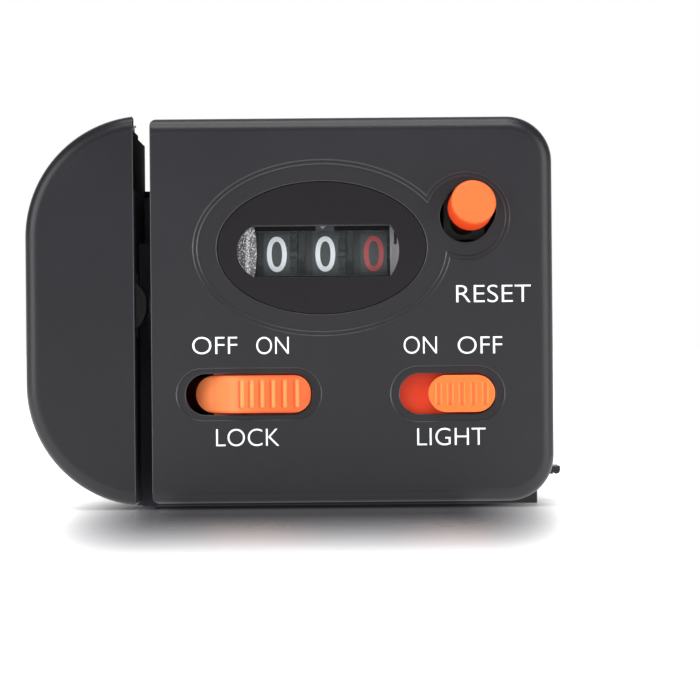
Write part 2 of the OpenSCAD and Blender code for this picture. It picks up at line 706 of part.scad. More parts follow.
// Number drum i: band, ring gear at the right, lock disc and heart cam at the left
module drum(i, has_gear, has_teeth, bore) translate([drum_u(i), drum_y, drum_z]) difference() {
    union() {
        across(-half_w, half_w) circle(drum_r, $fn = 96);
        if (has_gear) across(half_w, half_w + gear_w)
            gear_outline(ring_teeth, lock_disc_r + 0.1, ring_r, ring_r + 0.5, 0.65, 0.5, 0.3, 90);
        across(-half_w - disc_w, -half_w) {
            circle(lock_disc_r);
            // Two teeth that turn the pinion one step in each turn
            if (has_teeth) for (a = [-9, 9]) rotate(236 + a)
                polygon([[lock_disc_r - 0.4, -0.65], [ring_r, -0.5], [ring_r + 0.4, -0.3],
                    [ring_r + 0.4, 0.3], [ring_r, 0.5], [lock_disc_r - 0.4, 0.65]]);
        }
        across(-cam_u - cam_w, -cam_u) heart();
    }
    rod_x(-20, 20, 0, 0, bore);
}

module drum_left() place() color(dark_grey) drum(0, true, false, shaft_r + run_fit);
module drum_middle() place() color(dark_grey) drum(1, true, true, shaft_r + run_fit);
module drum_right() place() color(dark_grey) drum(2, false, true, shaft_r + seat_fit);

shaft_u0 = wheel_u - 1.8;
shaft_u1 = plate_u1 + frame_t + 0.8;
module drum_shaft() place() color(steel) rod_x(shaft_u0, shaft_u1, drum_y, drum_z, shaft_r);

module worm_gear() place() color(brass) translate([wheel_u, drum_y, drum_z]) difference() {
    union() {
        across(-1, 1) gear_outline(gear_teeth, gear_pitch_r - 0.45, gear_pitch_r - 0.1, gear_pitch_r + 0.1,
            0.38, 0.2, 0.13, -90);
        rod_x(1, 3, 0, 0, shaft_r + 1);
    }
    rod_x(-2, 4, 0, 0, shaft_r + seat_fit);
}

module pinion(i) translate([drum_u(i) + half_w + pinion_side, drum_y, pinion_z]) difference() {
    across(0, drum_pitch - drum_w - 2 * pinion_side)
        gear_outline(pinion_teeth, pinion_r - 0.8, pinion_r, pinion_r + 0.5, 0.6, 0.5, 0.25, 90 + 180 / pinion_teeth);
    rod_x(-1, 9, 0, 0, pinion_sr + run_fit);
}
module pinion_left() place() color(nylon) pinion(0);
module pinion_right() place() color(nylon) pinion(1);
module pinion_shaft() place() color(steel) rod_x(plate_u0, plate_u1 + frame_t, drum_y, pinion_z, pinion_sr);

module counter_frame() place() color(nylon) difference() {
    union() {
        for (u = [plate_u0, plate_u1]) across(u, u + frame_t) polygon([
            [drum_y - 3.6, frame_z0], [frame_y1, frame_z0], [frame_y1, frame_z1],
            [bar_y0 - 1, frame_z1], [drum_y - 3.6, drum_z + 4]]);
        block(plate_u0, plate_u1 + frame_t, bar_y0, frame_y1, frame_z0, frame_z0 + 5.4);
        block(plate_u0, plate_u1 + frame_t, bar_y0, frame_y1, frame_z1 - 5, frame_z1);
    }
    rod_x(plate_u0 - 1, plate_u1 + 3, drum_y, drum_z, shaft_r + run_fit);
    rod_x(plate_u0 - 1, plate_u1 + 3, drum_y, pinion_z, pinion_sr + seat_fit);
    for (p = frame_screw_at) rod_y(bar_y0 - 1, frame_y1 + 1, p[0], p[1], small_r + 0.1);
}

module frame_screws() place() color(steel) for (p = frame_screw_at)
    screw(bar_y0 - small_head_h, back_in - 0.4, p[0], p[1], small_r, small_head_r, small_head_h, 1);

module measuring_wheel() place() color(dark_grey) difference() {
    rod_y(wheel_y0, wheel_y1, wheel_u, wheel_z, wheel_r - tyre_t);
    rod_y(wheel_y0 - 1, wheel_y1 + 1, wheel_u, wheel_z, wheel_sr + seat_fit);
    for (s = [[wheel_y0 - 1, wheel_y0 + 1], [wheel_y1 - 1, wheel_y1 + 1]]) difference() {
        rod_y(s[0], s[1], wheel_u, wheel_z, wheel_r - tyre_t - 1);
        rod_y(s[0] - 1, s[1] + 1, wheel_u, wheel_z, wheel_sr + 0.9);
    }
}

module wheel_tyre() place() color(rubber) difference() {
    rod_y(wheel_y0, wheel_y1, wheel_u, wheel_z, wheel_r);
    rod_y(wheel_y0 - 1, wheel_y1 + 1, wheel_u, wheel_z, wheel_r - tyre_t);
}

wheel_shaft_y0 = face_wall + 0.6;
wheel_shaft_y1 = front_d + 11.6;
module wheel_shaft() place() color(steel) rod_y(wheel_shaft_y0, wheel_shaft_y1, wheel_u, wheel_z, wheel_sr);

module drive_worm() place() color(steel) translate([wheel_u, worm_y0, wheel_z]) rotate([-90, 0, 0]) difference() {
    rotate([0, 0, worm_phase]) linear_extrude(worm_len, twist = -360 * worm_len / worm_lead, slices = 40)
        translate([worm_throw, 0]) circle(worm_r, $fn = 14);
    translate([0, 0, -1]) cylinder(h = worm_len + 2, r = wheel_sr + seat_fit);
}
worm_phase = 90 - 180 * worm_len / worm_lead;

module bush(y0, y1) difference() {
    rod_y(y0, y1, wheel_u, wheel_z, bush_r);
    rod_y(y0 - 1, y1 + 1, wheel_u, wheel_z, wheel_sr + run_fit);
}
module front_bush() place() color(brass) bush(face_wall + 0.4, wheel_y0 - 0.3);
module rear_bush() place() color(brass) bush(front_d + 9.4, front_d + 12);

// Ribs of a finger rest, standing at height y
module rib(u, y, z, half) {
    rod_z(z - half, z + half, u, y + 0.13, 0.45);
    for (s = [-1, 1]) translate([u, y + 0.13, z + s * half]) sphere(0.45, $fn = 24);
}

module lock_slider() place() color(orange) difference() {
    union() {
        block(lock_plate_u0, lock_plate_u1, plate_y0, plate_y1, lock_z - lock_plate_h / 2, lock_z + lock_plate_h / 2);
        intersection() {
            translate([0, 0, lock_z - 5]) linear_extrude(10) lock_profile();
            upright(-5, plate_y1) lock_front();
        }
        for (i = [0:5]) rib(lock_knob_u0 + 7.04 + 1.4 * i + 0.046 * i * i, lock_top(7.04 + 1.4 * i + 0.046 * i * i), lock_z, 1.75);
    }
    for (p = lock_screw_at) rod_y(plate_y1 - 2.6, plate_y1 + 1, p[0], p[1], small_r + seat_fit);
}

// Side view of the knob: a nose that dives below the front wall, then a hollow finger rest
lock_arc_r = 4;
lock_arc_u = lock_knob_u0 + 7.49;
rest_r = 16.8;
rest_u = lock_knob_u0 + 12.35;
rest_y = 0.6 - knob_proud - rest_r;
function lock_top(d) = abs(d - 12.35) < 4.4
    ? rest_y + sqrt(rest_r * rest_r - (d - 12.35) * (d - 12.35)) : -knob_proud;
module lock_profile() difference() {
    union() {
        intersection() {
            translate([lock_arc_u, lock_arc_r - knob_proud]) circle(lock_arc_r);
            translate([lock_knob_u0 + 2.7, -5]) square([20, 5 + plate_y1]);
        }
        polygon([
            [lock_knob_u0, plate_y1], [lock_knob_u0, plate_y1 - 0.3], [lock_knob_u0 + 2.7, face_wall],
            [lock_arc_u - lock_arc_r * sin(36), lock_arc_r * (1 - cos(36)) - knob_proud], [lock_arc_u, plate_y1]]);
        translate([lock_arc_u, -knob_proud]) square([lock_knob_u1 - lock_arc_u, plate_y1 + knob_proud]);
    }
    translate([rest_u, rest_y]) circle(rest_r, $fn = 96);
}
// Front view of the knob
module lock_front() {
    h = lock_slot_h - 2 * knob_gap;
    translate([lock_knob_u0 + h / 2, lock_z]) circle(h / 2);
    translate([lock_knob_u0 + h / 2, lock_z - h / 2]) square([lock_knob_u1 - lock_knob_u0 - h / 2 - 2.5, h]);
    for (s = [-1, 1]) translate([lock_knob_u1 - 2.5, lock_z + s * (h / 2 - 2.5)]) circle(2.5);
    translate([lock_knob_u1 - 5, lock_z - h / 2 + 2.5]) square([5, h - 5]);
}

module lock_arm() place() color(steel) difference() {
    union() {
        block(arm_u, arm_u + 16, plate_y1, plate_y1 + 1, arm_z0, arm_z1 - 0.3);
        block(arm_u, arm_u + arm_t, plate_y1, arm_y1, arm_z0, arm_z1);
        block(pin_u - 4, arm_u + arm_t, arm_y0, arm_y1, arm_z0, arm_z1);
        block(pin_u - 4, pin_u + 2.4, arm_y0, arm_y1, arm_z0, wheel_z + 2.8);
    }
    for (p = lock_screw_at) rod_y(plate_y1 - 1, plate_y1 + 2, p[0], p[1], small_r + 0.1);
    rod_y(arm_y0 - 1, arm_y1 + 1, pin_u, wheel_z, pin_r + seat_fit);
}

module lock_screws() place() color(steel) for (p = lock_screw_at)
    screw(plate_y1 - 2.2, plate_y1 + 1 + small_head_h, p[0], p[1], small_r, small_head_r, small_head_h, -1);

module pinch_pin() place() color(steel) {
    rod_y(wheel_y0 - 0.9, arm_y1, pin_u, wheel_z, pin_r);
    rod_y(wheel_y0 - 0.9, wheel_y0 - 0.3, pin_u, wheel_z, pin_r + 0.25);
    rod_y(wheel_y1 + 0.3, wheel_y1 + 1.1, pin_u, wheel_z, pin_r + 0.25);
}

module pinch_roller() place() color(nylon) difference() {
    rod_y(wheel_y0, wheel_y1, pin_u, wheel_z, roller_r - tyre_t);
    rod_y(wheel_y0 - 1, wheel_y1 + 1, pin_u, wheel_z, pin_r + run_fit);
}

module pinch_tyre() place() color(rubber) difference() {
    rod_y(wheel_y0, wheel_y1, pin_u, wheel_z, roller_r);
    rod_y(wheel_y0 - 1, wheel_y1 + 1, pin_u, wheel_z, roller_r - tyre_t);
}

// Turns its children's +Z to the button's axis and starts them at the cap's seat
module on_cap_axis() translate(cap_seat) rotate([0, 0, cap_lean]) rotate([90 - cap_tilt, 0, 0]) children();

module reset_cap() place() color(orange) on_cap_axis() {
    rotate_extrude() {
        square([cap_d / 2, cap_len - cap_round]);
        square([cap_d / 2 - cap_round, cap_len]);
        translate([cap_d / 2 - cap_round, cap_len - cap_round]) circle(cap_round, $fn = 32);
    }
    translate([0, 0, -stem_len]) cylinder(h = stem_len, r = stem_d / 2);
}
stem_len = (arm_in_y0 + 1.1 - cap_seat[1]) / -cap_dir[1];

module reset_lever() place() color(dark_grey) difference() {
    union() {
        block(lever_u0, lever_u1, lever_y0, lever_y1, lever_z0, lever_z1);
        // Arm behind the button
        block(reset_u - 3.2, reset_u + 3, arm_in_y0, arm_in_y1, reset_z - 3.4, lever_z0 + 1);
        // Hammers that push the heart cams round to zero
        for (i = [0:2]) {
            u = drum_u(i) - cam_u - cam_w / 2;
            block(u - hammer_w / 2, u + hammer_w / 2, hammer_y1 - 2.2, hammer_y1, drum_z - 0.9, lever_z1 - 0.8);
            block(u - hammer_w / 2, u + hammer_w / 2, lever_y0 + 1, hammer_y1, lever_z0 - 1, lever_z1 - 0.8);
        }
    }
    rod_x(lever_u0 - 1, lever_u1 + 1, pivot_y, pivot_z, pivot_r + run_fit);
    on_cap_axis() translate([0, 0, -stem_len]) cylinder(h = stem_len, r = stem_d / 2 + seat_fit);
}

module reset_shaft() place() color(steel)
    rod_x(lever_u0 - slide_gap - 1.6, lever_u1 + slide_gap + 1.6, pivot_y, pivot_z, pivot_r);

// Bowed leaf between the front wall and the top of the rocker
module reset_spring() place() color(steel) translate([(spring_u0 + spring_u1) / 2, face_wall + 1.1, 0]) {
    span = (spring_u1 - spring_u0) / 2;
    bow = 0.78;
    leaf_r = (span * span + bow * bow) / (2 * bow);
    level(spring_z0, spring_z1) intersection() {
        translate([0, -leaf_r]) difference() {
            circle(leaf_r, $fn = 96);
            circle(leaf_r - 0.3, $fn = 96);
        }
        translate([-span, -1.08]) square([2 * span, 2]);
    }
}

module light_knob() place() color(orange) difference() {
    union() {
        block(light_plate_u0, light_plate_u1, plate_y0, plate_y0 + light_plate_t,
            light_z - light_plate_h / 2, light_z + light_plate_h / 2);
        translate([light_knob_u, 0, light_z]) upright(-knob_proud, plate_y0 + 0.5)
            stadium(light_knob_w, 2 * light_knob_r);
        for (i = [-2:2]) rib(light_knob_u + 1.73 * i, -knob_proud, light_z, 1.25);
        block(light_knob_u - 2, light_knob_u + 2, plate_y0, switch_y0 - 0.3, light_z - 2, light_z + 2);
    }
    block(light_knob_u - act_w / 2 - 0.05, light_knob_u + act_w / 2 + 0.05, plate_y0 + light_plate_t, switch_y0,
        light_z - act_h / 2 - 0.05, light_z + act_h / 2 + 0.05);
}

switch_u = light_knob_u - light_travel / 2;
module light_switch() place() color(steel) difference() {
    block(switch_u - 5.5, switch_u + 5.5, switch_y0, board_y0, light_z - 2.6, light_z + 2.6);
    block(switch_u - light_travel / 2 - act_w / 2 - 0.2, switch_u + light_travel / 2 + act_w / 2 + 0.2,
        switch_y0 - 1, board_y0 - 0.8, light_z - act_h / 2 - 0.15, light_z + act_h / 2 + 0.15);
}

module switch_slider() place() color(dark_grey)
    block(light_knob_u - act_w / 2, light_knob_u + act_w / 2, plate_y0 + light_plate_t + 0.05, board_y0 - 1,
        light_z - act_h / 2, light_z + act_h / 2);

module circuit_board() place() color(board_green) difference() {
    union() {
        block(board_u0, board_u1, board_y0, board_y1, board_z0, board_z1);
        block(lamp_u + 0.4, lamp_u + 6, board_y0, board_y1, board_z1 - 1, lamp_z + 2.4);
    }
    for (p = board_screw_at) rod_y(board_y0 - 1, board_y1 + 1, p[0], p[1], small_r + 0.1);
}

module board_screws() place() color(steel) for (p = board_screw_at)
    screw(board_y0 - 4, board_y1 + small_head_h, p[0], p[1], small_r, small_head_r, small_head_h, -1);

// Lamp that shines along -X over the drums
module lamp() place() color([0.95, 0.97, 1]) {
    rod_x(lamp_u, lamp_u + 3.2, lamp_y, lamp_z, lamp_r);
    translate([lamp_u, lamp_y, lamp_z]) sphere(lamp_r);
    rod_x(lamp_u + 2.8, lamp_u + 3.6, lamp_y, lamp_z, lamp_r + 0.3);
    for (s = [-1, 1]) {
        rod_x(lamp_u + 3.5, lamp_u + 4.8, lamp_y, lamp_z + s * 0.9, 0.25);
        translate([lamp_u + 4.8, lamp_y, lamp_z + s * 0.9]) sphere(0.25, $fn = 24);
        rod_y(lamp_y, board_y0, lamp_u + 4.8, lamp_z + s * 0.9, 0.25);
    }
}

tray_z1 = strip_z0 - 0.15;
module battery_tray() place() color(body_grey) difference() {
    union() {
        block(tray_u0, bay_u1, bay_in_y0 + tray_gap, back_in - tray_gap, tray_z0, tray_z1);
        block(bay_u1 - 1.2, bay_u1, bay_in_y0 + tray_gap, back_in - tray_gap, tray_z0, bay_in_z1 - tray_gap);
        // Finger lip, round below
        upright(bay_in_y0 + 2.4, back_in - 2.4) {
            translate([bay_u1 - 1, bay_in_z1 - 1.75]) square([lip_w - 0.1, 1.2]);
            translate([bay_u1 + lip_w - 1.5, bay_in_z1 - 1.15]) square([1.5, 0.6]);
            translate([bay_u1 + lip_w - 0.6, bay_in_z1 - 1.15]) circle(0.6);
        }
    }
    for (u = cell_at) rod_z(cell_z0 - 0.01, tray_z1 + 1, u, cell_y, cell_d / 2 + 0.1);
    block(cell_at[0] - 3.1, cell_at[1] + 3.1, cell_y - 2.1, cell_y + 2.1, bridge_z, cell_z0 + 0.1);
}

module battery_cells() place() color(steel) for (u = cell_at) {
    rod_z(cell_z0, cell_z0 + 0.8, u, cell_y, cell_d / 2 - 0.6);
    rod_z(cell_z0 + 0.8, cell_z1, u, cell_y, cell_d / 2);
}

module contact_bridge() place() color(brass)
    block(cell_at[0] - 3, cell_at[1] + 3, cell_y - 2, cell_y + 2, bridge_z, cell_z0);

tab_y0 = bay_in_y0 + 0.6;
tab_z1 = bay_z1 + 1.8;
module battery_contacts() place() color(brass) for (u = cell_at) {
    block(u - 1.5, u + 1.5, tab_y0, cell_y + 2, strip_z0, bay_in_z1);
    block(u - 1.5, u + 1.5, tab_y0, tab_y0 + 0.5, strip_z0, tab_z1);
}

wire_r = 0.45;
wire_z = tab_z1 + 1.9;
module lead_wires() place() color([0.7, 0.1, 0.1]) for (u = cell_at) {
    rod_y(board_y1, tab_y0 + 0.25, u, wire_z, wire_r);
    translate([u, tab_y0 + 0.25, wire_z]) sphere(wire_r, $fn = 24);
    rod_z(tab_z1, wire_z, u, tab_y0 + 0.25, wire_r);
}

// Sector of a ring around the rod's axis
module ring_sector(r0, r1, a0, a1, z0, z1) translate([rod_u, rod_y, z0]) rotate([0, 0, a0])
    rotate_extrude(angle = a1 - a0) translate([r0, 0]) square([r1 - r0, z1 - z0]);

cradle_z0 = rod_z - saddle_len / 2;
cradle_z1 = rod_z + saddle_len / 2;
// Arc around the rod and the block below it, above the base
module cradle_outline() intersection() {
    union() {
        intersection() {
            circle(shell_r);
            polygon([[0, 0], [-20, 20], [-20, -20], [0, -20]]);
        }
        translate([-shell_r, -12]) square([shell_r + 2.7, 9]);
    }
    translate([-20, body_d + 0.5 - rod_y]) square([40, 40]);
}
module rod_saddle() place() color(body_grey) difference() {
    union() {
        upright(body_d, base_y1) outline(saddle_u0, saddle_u1, saddle_z0, saddle_z1, [3, 3, 3, 3]);
        level(cradle_z0, cradle_z1) translate([rod_u, rod_y]) cradle_outline();
        // Wall that carries the nut
        block(stop_u0, stop_u1, body_d + 0.5, rod_y + 6, rod_z - 6, rod_z + 6);
        // Guides of the shoe's foot
        for (z = [rod_z - shoe_h / 2 - slide_gap - 1.5, rod_z + shoe_h / 2 + slide_gap])
            block(rod_u + 3.4, stop_u0, body_d + 0.5, base_y1 + 1.4, z, z + 1.5);
    }
    rod_z(cradle_z0 - 1, cradle_z1 + 1, rod_u, rod_y, pad_r);
    block(rod_u + 2.7, stop_u0, base_y1, base_y1 + 9, rod_z - shoe_h / 2 - slide_gap, rod_z + shoe_h / 2 + slide_gap);
    translate([stop_u0 - 1, thumb_y, rod_z]) rotate([0, 90, 0]) cylinder(h = nut_w + 1, r = nut_r + 0.03, $fn = 6);
    rod_x(stop_u0 - 1, stop_u1 + 1, thumb_y, rod_z, thumb_r + 0.2);
    for (p = saddle_screw_at) {
        rod_y(body_d - 1, base_y1 + 1, p[0], p[1], screw_r + 0.1);
        rod_y(base_y1 - 1.3, base_y1 + 1, p[0], p[1], head_r + 0.15);
    }
}

module saddle_pad() place() color(rubber) ring_sector(rod_r, pad_r, 135, 285, cradle_z0, cradle_z1);

module saddle_screws() place() color(steel) for (p = saddle_screw_at)
    screw(back_in - 2.2, base_y1 - 0.1, p[0], p[1], screw_r, head_r, 1.2, -1);

module clamp_shoe() place() color(body_grey) difference() {
    union() {
        block(rod_u + 5.5, shoe_u1, rod_y - 4.9, rod_y + 4.9, rod_z - shoe_h / 2, rod_z + shoe_h / 2);
        block(rod_u + 8, shoe_u1, base_y1 + 0.1, rod_y, rod_z - shoe_h / 2, rod_z + shoe_h / 2);
    }
    rod_z(rod_z - 20, rod_z + 20, rod_u, rod_y, shoe_pad_r + pad_t);
    rod_x(shoe_u1 - 2.2, shoe_u1 + 1, thumb_y, rod_z, thumb_r * 0.7 + run_fit);
}

module shoe_pad() place() color(rubber)
    ring_sector(shoe_pad_r, shoe_pad_r + pad_t, -35, 35, rod_z - shoe_h / 2, rod_z + shoe_h / 2);

module clamp_nut() place() color(brass) difference() {
    translate([stop_u0, thumb_y, rod_z]) rotate([0, 90, 0]) cylinder(h = nut_w, r = nut_r, $fn = 6);
    rod_x(stop_u0 - 1, stop_u1, thumb_y, rod_z, thumb_r + run_fit);
}

module thumb_screw() place() color(steel) {
    rod_x(shoe_u1 - 2, shoe_u1 + 0.2, thumb_y, rod_z, thumb_r * 0.7);
    rod_x(shoe_u1 + 0.1, thumb_knob_u0 + thumb_knob_w - 1.5, thumb_y, rod_z, thumb_r);
}

// Fluted knob on the end of the thumb screw
module thumb_knob() place() color(dark_grey) difference() {
    rod_x(thumb_knob_u0, thumb_knob_u0 + thumb_knob_w, thumb_y, rod_z, knob_d / 2);
    for (i = [0:17]) translate([0, thumb_y, rod_z]) rotate([i * 20, 0, 0])
        rod_x(thumb_knob_u0 - 1, thumb_knob_u0 + thumb_knob_w + 1, 0, knob_d / 2 + 0.3, 0.7);
    rod_x(thumb_knob_u0 - 1, thumb_knob_u0 + thumb_knob_w - 1.5, thumb_y, rod_z, thumb_r + seat_fit);
}

front_cover();
wing_cover();
rear_cover();
cover_screws();
line_guide_pin();
display_bezel();
display_lens();
drum_left();
drum_middle();
drum_right();
drum_shaft();
worm_gear();
pinion_left();
pinion_right();
pinion_shaft();
counter_frame();
frame_screws();
measuring_wheel();
wheel_tyre();
wheel_shaft();
drive_worm();
front_bush();
rear_bush();
lock_slider();
lock_arm();
lock_screws();
pinch_pin();
pinch_roller();
pinch_tyre();
reset_cap();
reset_lever();
reset_shaft();
reset_spring();
light_knob();
light_switch();
switch_slider();
circuit_board();
board_screws();
lamp();
battery_tray();
battery_cells();
contact_bridge();
battery_contacts();
lead_wires();
rod_saddle();
saddle_pad();
saddle_screws();
clamp_shoe();
shoe_pad();
clamp_nut();
thumb_screw();
thumb_knob();
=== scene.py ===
import json
import math

import bmesh
import bpy
import numpy as np
from mathutils import Matrix, Vector


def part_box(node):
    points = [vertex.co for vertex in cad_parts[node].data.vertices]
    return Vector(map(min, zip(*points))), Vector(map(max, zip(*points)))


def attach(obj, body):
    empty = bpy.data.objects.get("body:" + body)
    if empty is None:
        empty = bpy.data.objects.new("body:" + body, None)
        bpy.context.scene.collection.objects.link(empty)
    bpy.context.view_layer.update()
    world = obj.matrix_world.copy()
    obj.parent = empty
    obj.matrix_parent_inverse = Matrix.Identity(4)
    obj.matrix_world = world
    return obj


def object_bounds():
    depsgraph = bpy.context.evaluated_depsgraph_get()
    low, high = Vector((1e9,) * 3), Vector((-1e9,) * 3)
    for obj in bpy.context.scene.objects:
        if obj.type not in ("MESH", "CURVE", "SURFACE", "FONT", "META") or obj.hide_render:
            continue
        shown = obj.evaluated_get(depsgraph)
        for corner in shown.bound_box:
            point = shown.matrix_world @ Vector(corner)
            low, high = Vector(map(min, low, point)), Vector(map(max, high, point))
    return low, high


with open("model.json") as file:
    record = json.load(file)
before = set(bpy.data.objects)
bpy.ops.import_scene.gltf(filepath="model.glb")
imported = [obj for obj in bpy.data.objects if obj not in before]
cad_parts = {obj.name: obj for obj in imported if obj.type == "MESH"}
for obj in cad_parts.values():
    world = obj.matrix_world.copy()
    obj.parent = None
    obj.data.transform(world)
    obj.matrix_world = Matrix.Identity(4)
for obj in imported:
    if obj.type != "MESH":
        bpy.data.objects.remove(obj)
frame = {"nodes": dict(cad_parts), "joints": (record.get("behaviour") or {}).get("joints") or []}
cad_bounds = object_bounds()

# The camera looks straight along +Y from 45 centimetres, at two fifths of the object's height, so the
# face stays square to the picture, and rolls by half a degree. Its place, as most others here, is
# counted from the left edge, the face and the top of the main front cover.
MM = 0.001
COVER_LOW, COVER_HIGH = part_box("front_cover")
FACE_Y = COVER_LOW.y
VIEW_WIDTH_PX = 700
FOCAL_PX = 3020
PX_PER_MM = 6.72
SENSOR_MM = 36.0
VIEW_ROLL = math.radians(-0.5)
VIEW_CENTRE_RIGHT_OF_COVER_EDGE = 29.58 * MM
VIEW_CENTRE_BELOW_TOP = 34.7 * MM


def place_camera():
    """Stands the camera before the face at its focal length over the scale, both in pixels."""
    data = bpy.data.cameras.new("camera")
    data.sensor_width = SENSOR_MM
    data.lens = FOCAL_PX / VIEW_WIDTH_PX * SENSOR_MM
    data.clip_start = 0.01
    data.clip_end = 20
    camera = bpy.data.objects.new("camera", data)
    bpy.context.scene.collection.objects.link(camera)
    spot = Vector((COVER_LOW.x + VIEW_CENTRE_RIGHT_OF_COVER_EDGE,
                   FACE_Y - FOCAL_PX / PX_PER_MM * MM,
                   COVER_HIGH.z - VIEW_CENTRE_BELOW_TOP))
    camera.matrix_world = (Matrix.Translation(spot) @ Matrix.Rotation(math.pi / 2, 4, "X")
                           @ Matrix.Rotation(VIEW_ROLL, 4, "Z"))
    bpy.context.scene.camera = camera


place_camera()


# The housing is three mouldings of matt black plastic, spark eroded to a fine grain: the main front
# cover, the wing's front cover and one rear cover behind both. The rod clamp's saddle and shoe and
# the battery tray are moulded in the same plastic. The wing's cover is painted a tone darker, as
# painted shade. The edges of all of them are painted lighter as painted highlights, and the walls in
# the slot are painted dark as painted shade.
NODES = frame["nodes"]
SLOT_WIDE = 2.5 * MM
SLOT_SKIN = 0.02 * MM
# The slot's walls lie between these places along X. There they get painted shade, which is almost
# black above SLOT_BLACK_ABOVE.
SLOT_WALLS = (COVER_LOW.x - SLOT_WIDE - SLOT_SKIN, COVER_LOW.x + SLOT_SKIN)
SLOT_BLACK_ABOVE = 47.6 * MM
HOUSING_GRAIN_DEPTH = 0.02 * MM
HOUSING_EDGE = 0.22 * MM


class Link:
    """An output socket of a node. Sums, products and powers of it add Math nodes."""

    def __init__(self, nodes, socket):
        self.nodes = nodes
        self.socket = socket

    def math(self, operation, *values):
        """A Math node on these values."""
        return self.nodes.node("ShaderNodeMath", {"operation": operation}, dict(enumerate(values)))

    def __add__(self, other):
        return self.math("ADD", self, other)

    def __radd__(self, other):
        return self.math("ADD", other, self)

    def __sub__(self, other):
        return self.math("SUBTRACT", self, other)

    def __rsub__(self, other):
        return self.math("SUBTRACT", other, self)

    def __mul__(self, other):
        return self.math("MULTIPLY", self, other)

    def __rmul__(self, other):
        return self.math("MULTIPLY", other, self)

    def __truediv__(self, other):
        return self.math("DIVIDE", self, other)

    def __pow__(self, other):
        return self.math("POWER", self, other)

    def __abs__(self):
        return self.math("ABSOLUTE", self)

    def larger(self, other):
        """The larger of this value and another."""
        return self.math("MAXIMUM", self, other)

    def over(self, edge, width):
        """0 below edge, 1 above edge plus width, and a straight rise between."""
        return self.nodes.node("ShaderNodeMapRange", {"clamp": True},
                               {"Value": self, "From Min": edge, "From Max": edge + width})

    def between(self, low, high, blur):
        """1 where the value lies between low and high, falling to 0 over blur outside them."""
        return self.over(low - blur, blur) * (1 - self.over(high, blur))


class Nodes:
    """The shader nodes of one material or world."""

    def __init__(self, owner):
        owner.use_nodes = True
        self.tree = owner.node_tree
        self.tree.nodes.clear()

    def node(self, kind, settings=None, values=None, output=0):
        """Adds a node: its settings first, then the values or links of its sockets."""
        made = self.tree.nodes.new(kind)
        for name, value in (settings or {}).items():
            if name == "stops":
                ramp = made.color_ramp
                for spare in list(ramp.elements)[1:]:
                    ramp.elements.remove(spare)
                ramp.elements[0].position, ramp.elements[0].color = value[0]
                for position, colour in value[1:]:
                    ramp.elements.new(position).color = colour
            else:
                setattr(made, name, value)
        for name, value in (values or {}).items():
            if isinstance(value, Link):
                self.tree.links.new(value.socket, made.inputs[name])
            else:
                made.inputs[name].default_value = value
        return Link(self, made.outputs[output]) if made.outputs else None

    def part(self, axis, vector):
        """The part of a vector along the axis X, Y or Z."""
        return self.node("ShaderNodeSeparateXYZ", None, {"Vector": vector}, output=axis)

    def dot(self, first, second):
        """How far two vectors point the same way: the sum of the products of their parts."""
        return self.node("ShaderNodeVectorMath", {"operation": "DOT_PRODUCT"},
                         {0: first, 1: second}, output="Value")


class Finish(Nodes):
    """One material, built as nodes that end in a Principled BSDF. place is a point of the piece."""

    def __init__(self, name):
        self.material = bpy.data.materials.new(name)
        super().__init__(self.material)
        self.place = self.node("ShaderNodeTexCoord", output="Object")

    def at(self, axis):
        """How far along the axis X, Y or Z a point of the piece lies, in metres."""
        return self.part(axis, self.place)

    def noise(self, size, detail=2.0, place=None):
        """Even noise between 0 and 1 whose lumps are about size metres across."""
        return self.node("ShaderNodeTexNoise", None,
                         {"Vector": place or self.place, "Scale": 1 / size, "Detail": detail})

    def mix(self, share, first, second):
        """The colour first where share is 0 and second where it is 1."""
        return self.node("ShaderNodeMix", {"data_type": "RGBA"}, {0: share, 6: first, 7: second},
                         output=2)

    def rounded(self, radius):
        """The normal as it is on edges that are rounded by radius."""
        return self.node("ShaderNodeBevel", {"samples": 6}, {"Radius": radius})

    def edges(self, radius, upper=1.0, lower=1.0):
        """1 on the edges of the piece and 0 on its faces.

        It is how far the rounded normal leans from the flat one. Edges whose rounded normal points up
        are only upper times as strong, and those that point down lower times.
        """
        flat = self.node("ShaderNodeNewGeometry", output="Normal")
        soft = self.rounded(radius)
        edge = (1 - self.dot(soft, flat)).over(0.01, 0.16)
        if upper == lower == 1.0:
            return edge
        up = self.part("Z", soft)
        return edge * (1 - (1 - upper) * up.over(0.05, 0.3) - (1 - lower) * (-1 * up).over(0.05, 0.3))

    def bump(self, height, depth, strength, radius):
        """A normal from a height map of that depth in metres, on edges rounded by radius."""
        return self.node("ShaderNodeBump", None, {
            "Height": height, "Distance": depth, "Strength": strength, "Normal": self.rounded(radius)})

    def shader(self, **sockets):
        """A Principled BSDF with these sockets, underscores standing for spaces."""
        named = {name.replace("_", " "): value for name, value in sockets.items()}
        named.setdefault("IOR", 1.5)
        return self.node("ShaderNodeBsdfPrincipled", None, named, output="BSDF")

    def surface(self, **sockets):
        """Ends the material in one such shader."""
        return self.ending(self.shader(**sockets))

    def ending(self, shader):
        """Ends the material in a shader that is already made."""
        self.node("ShaderNodeOutputMaterial", None, {"Surface": shader})
        return self.material


def rgb(red, green, blue):
    """A colour given as 0 to 255 on screen, as the linear colour that shaders take."""
    screen = np.array([red, green, blue]) / 255
    linear = np.where(screen > 0.04045, ((screen + 0.055) / 1.055) ** 2.4, screen / 12.92)
    return (*[float(value) for value in linear], 1.0)


def times(factor, colour):
    """A colour made darker or lighter by a factor, at most up to white."""
    return (*[min(1.0, factor * part) for part in colour[:3]], 1.0)


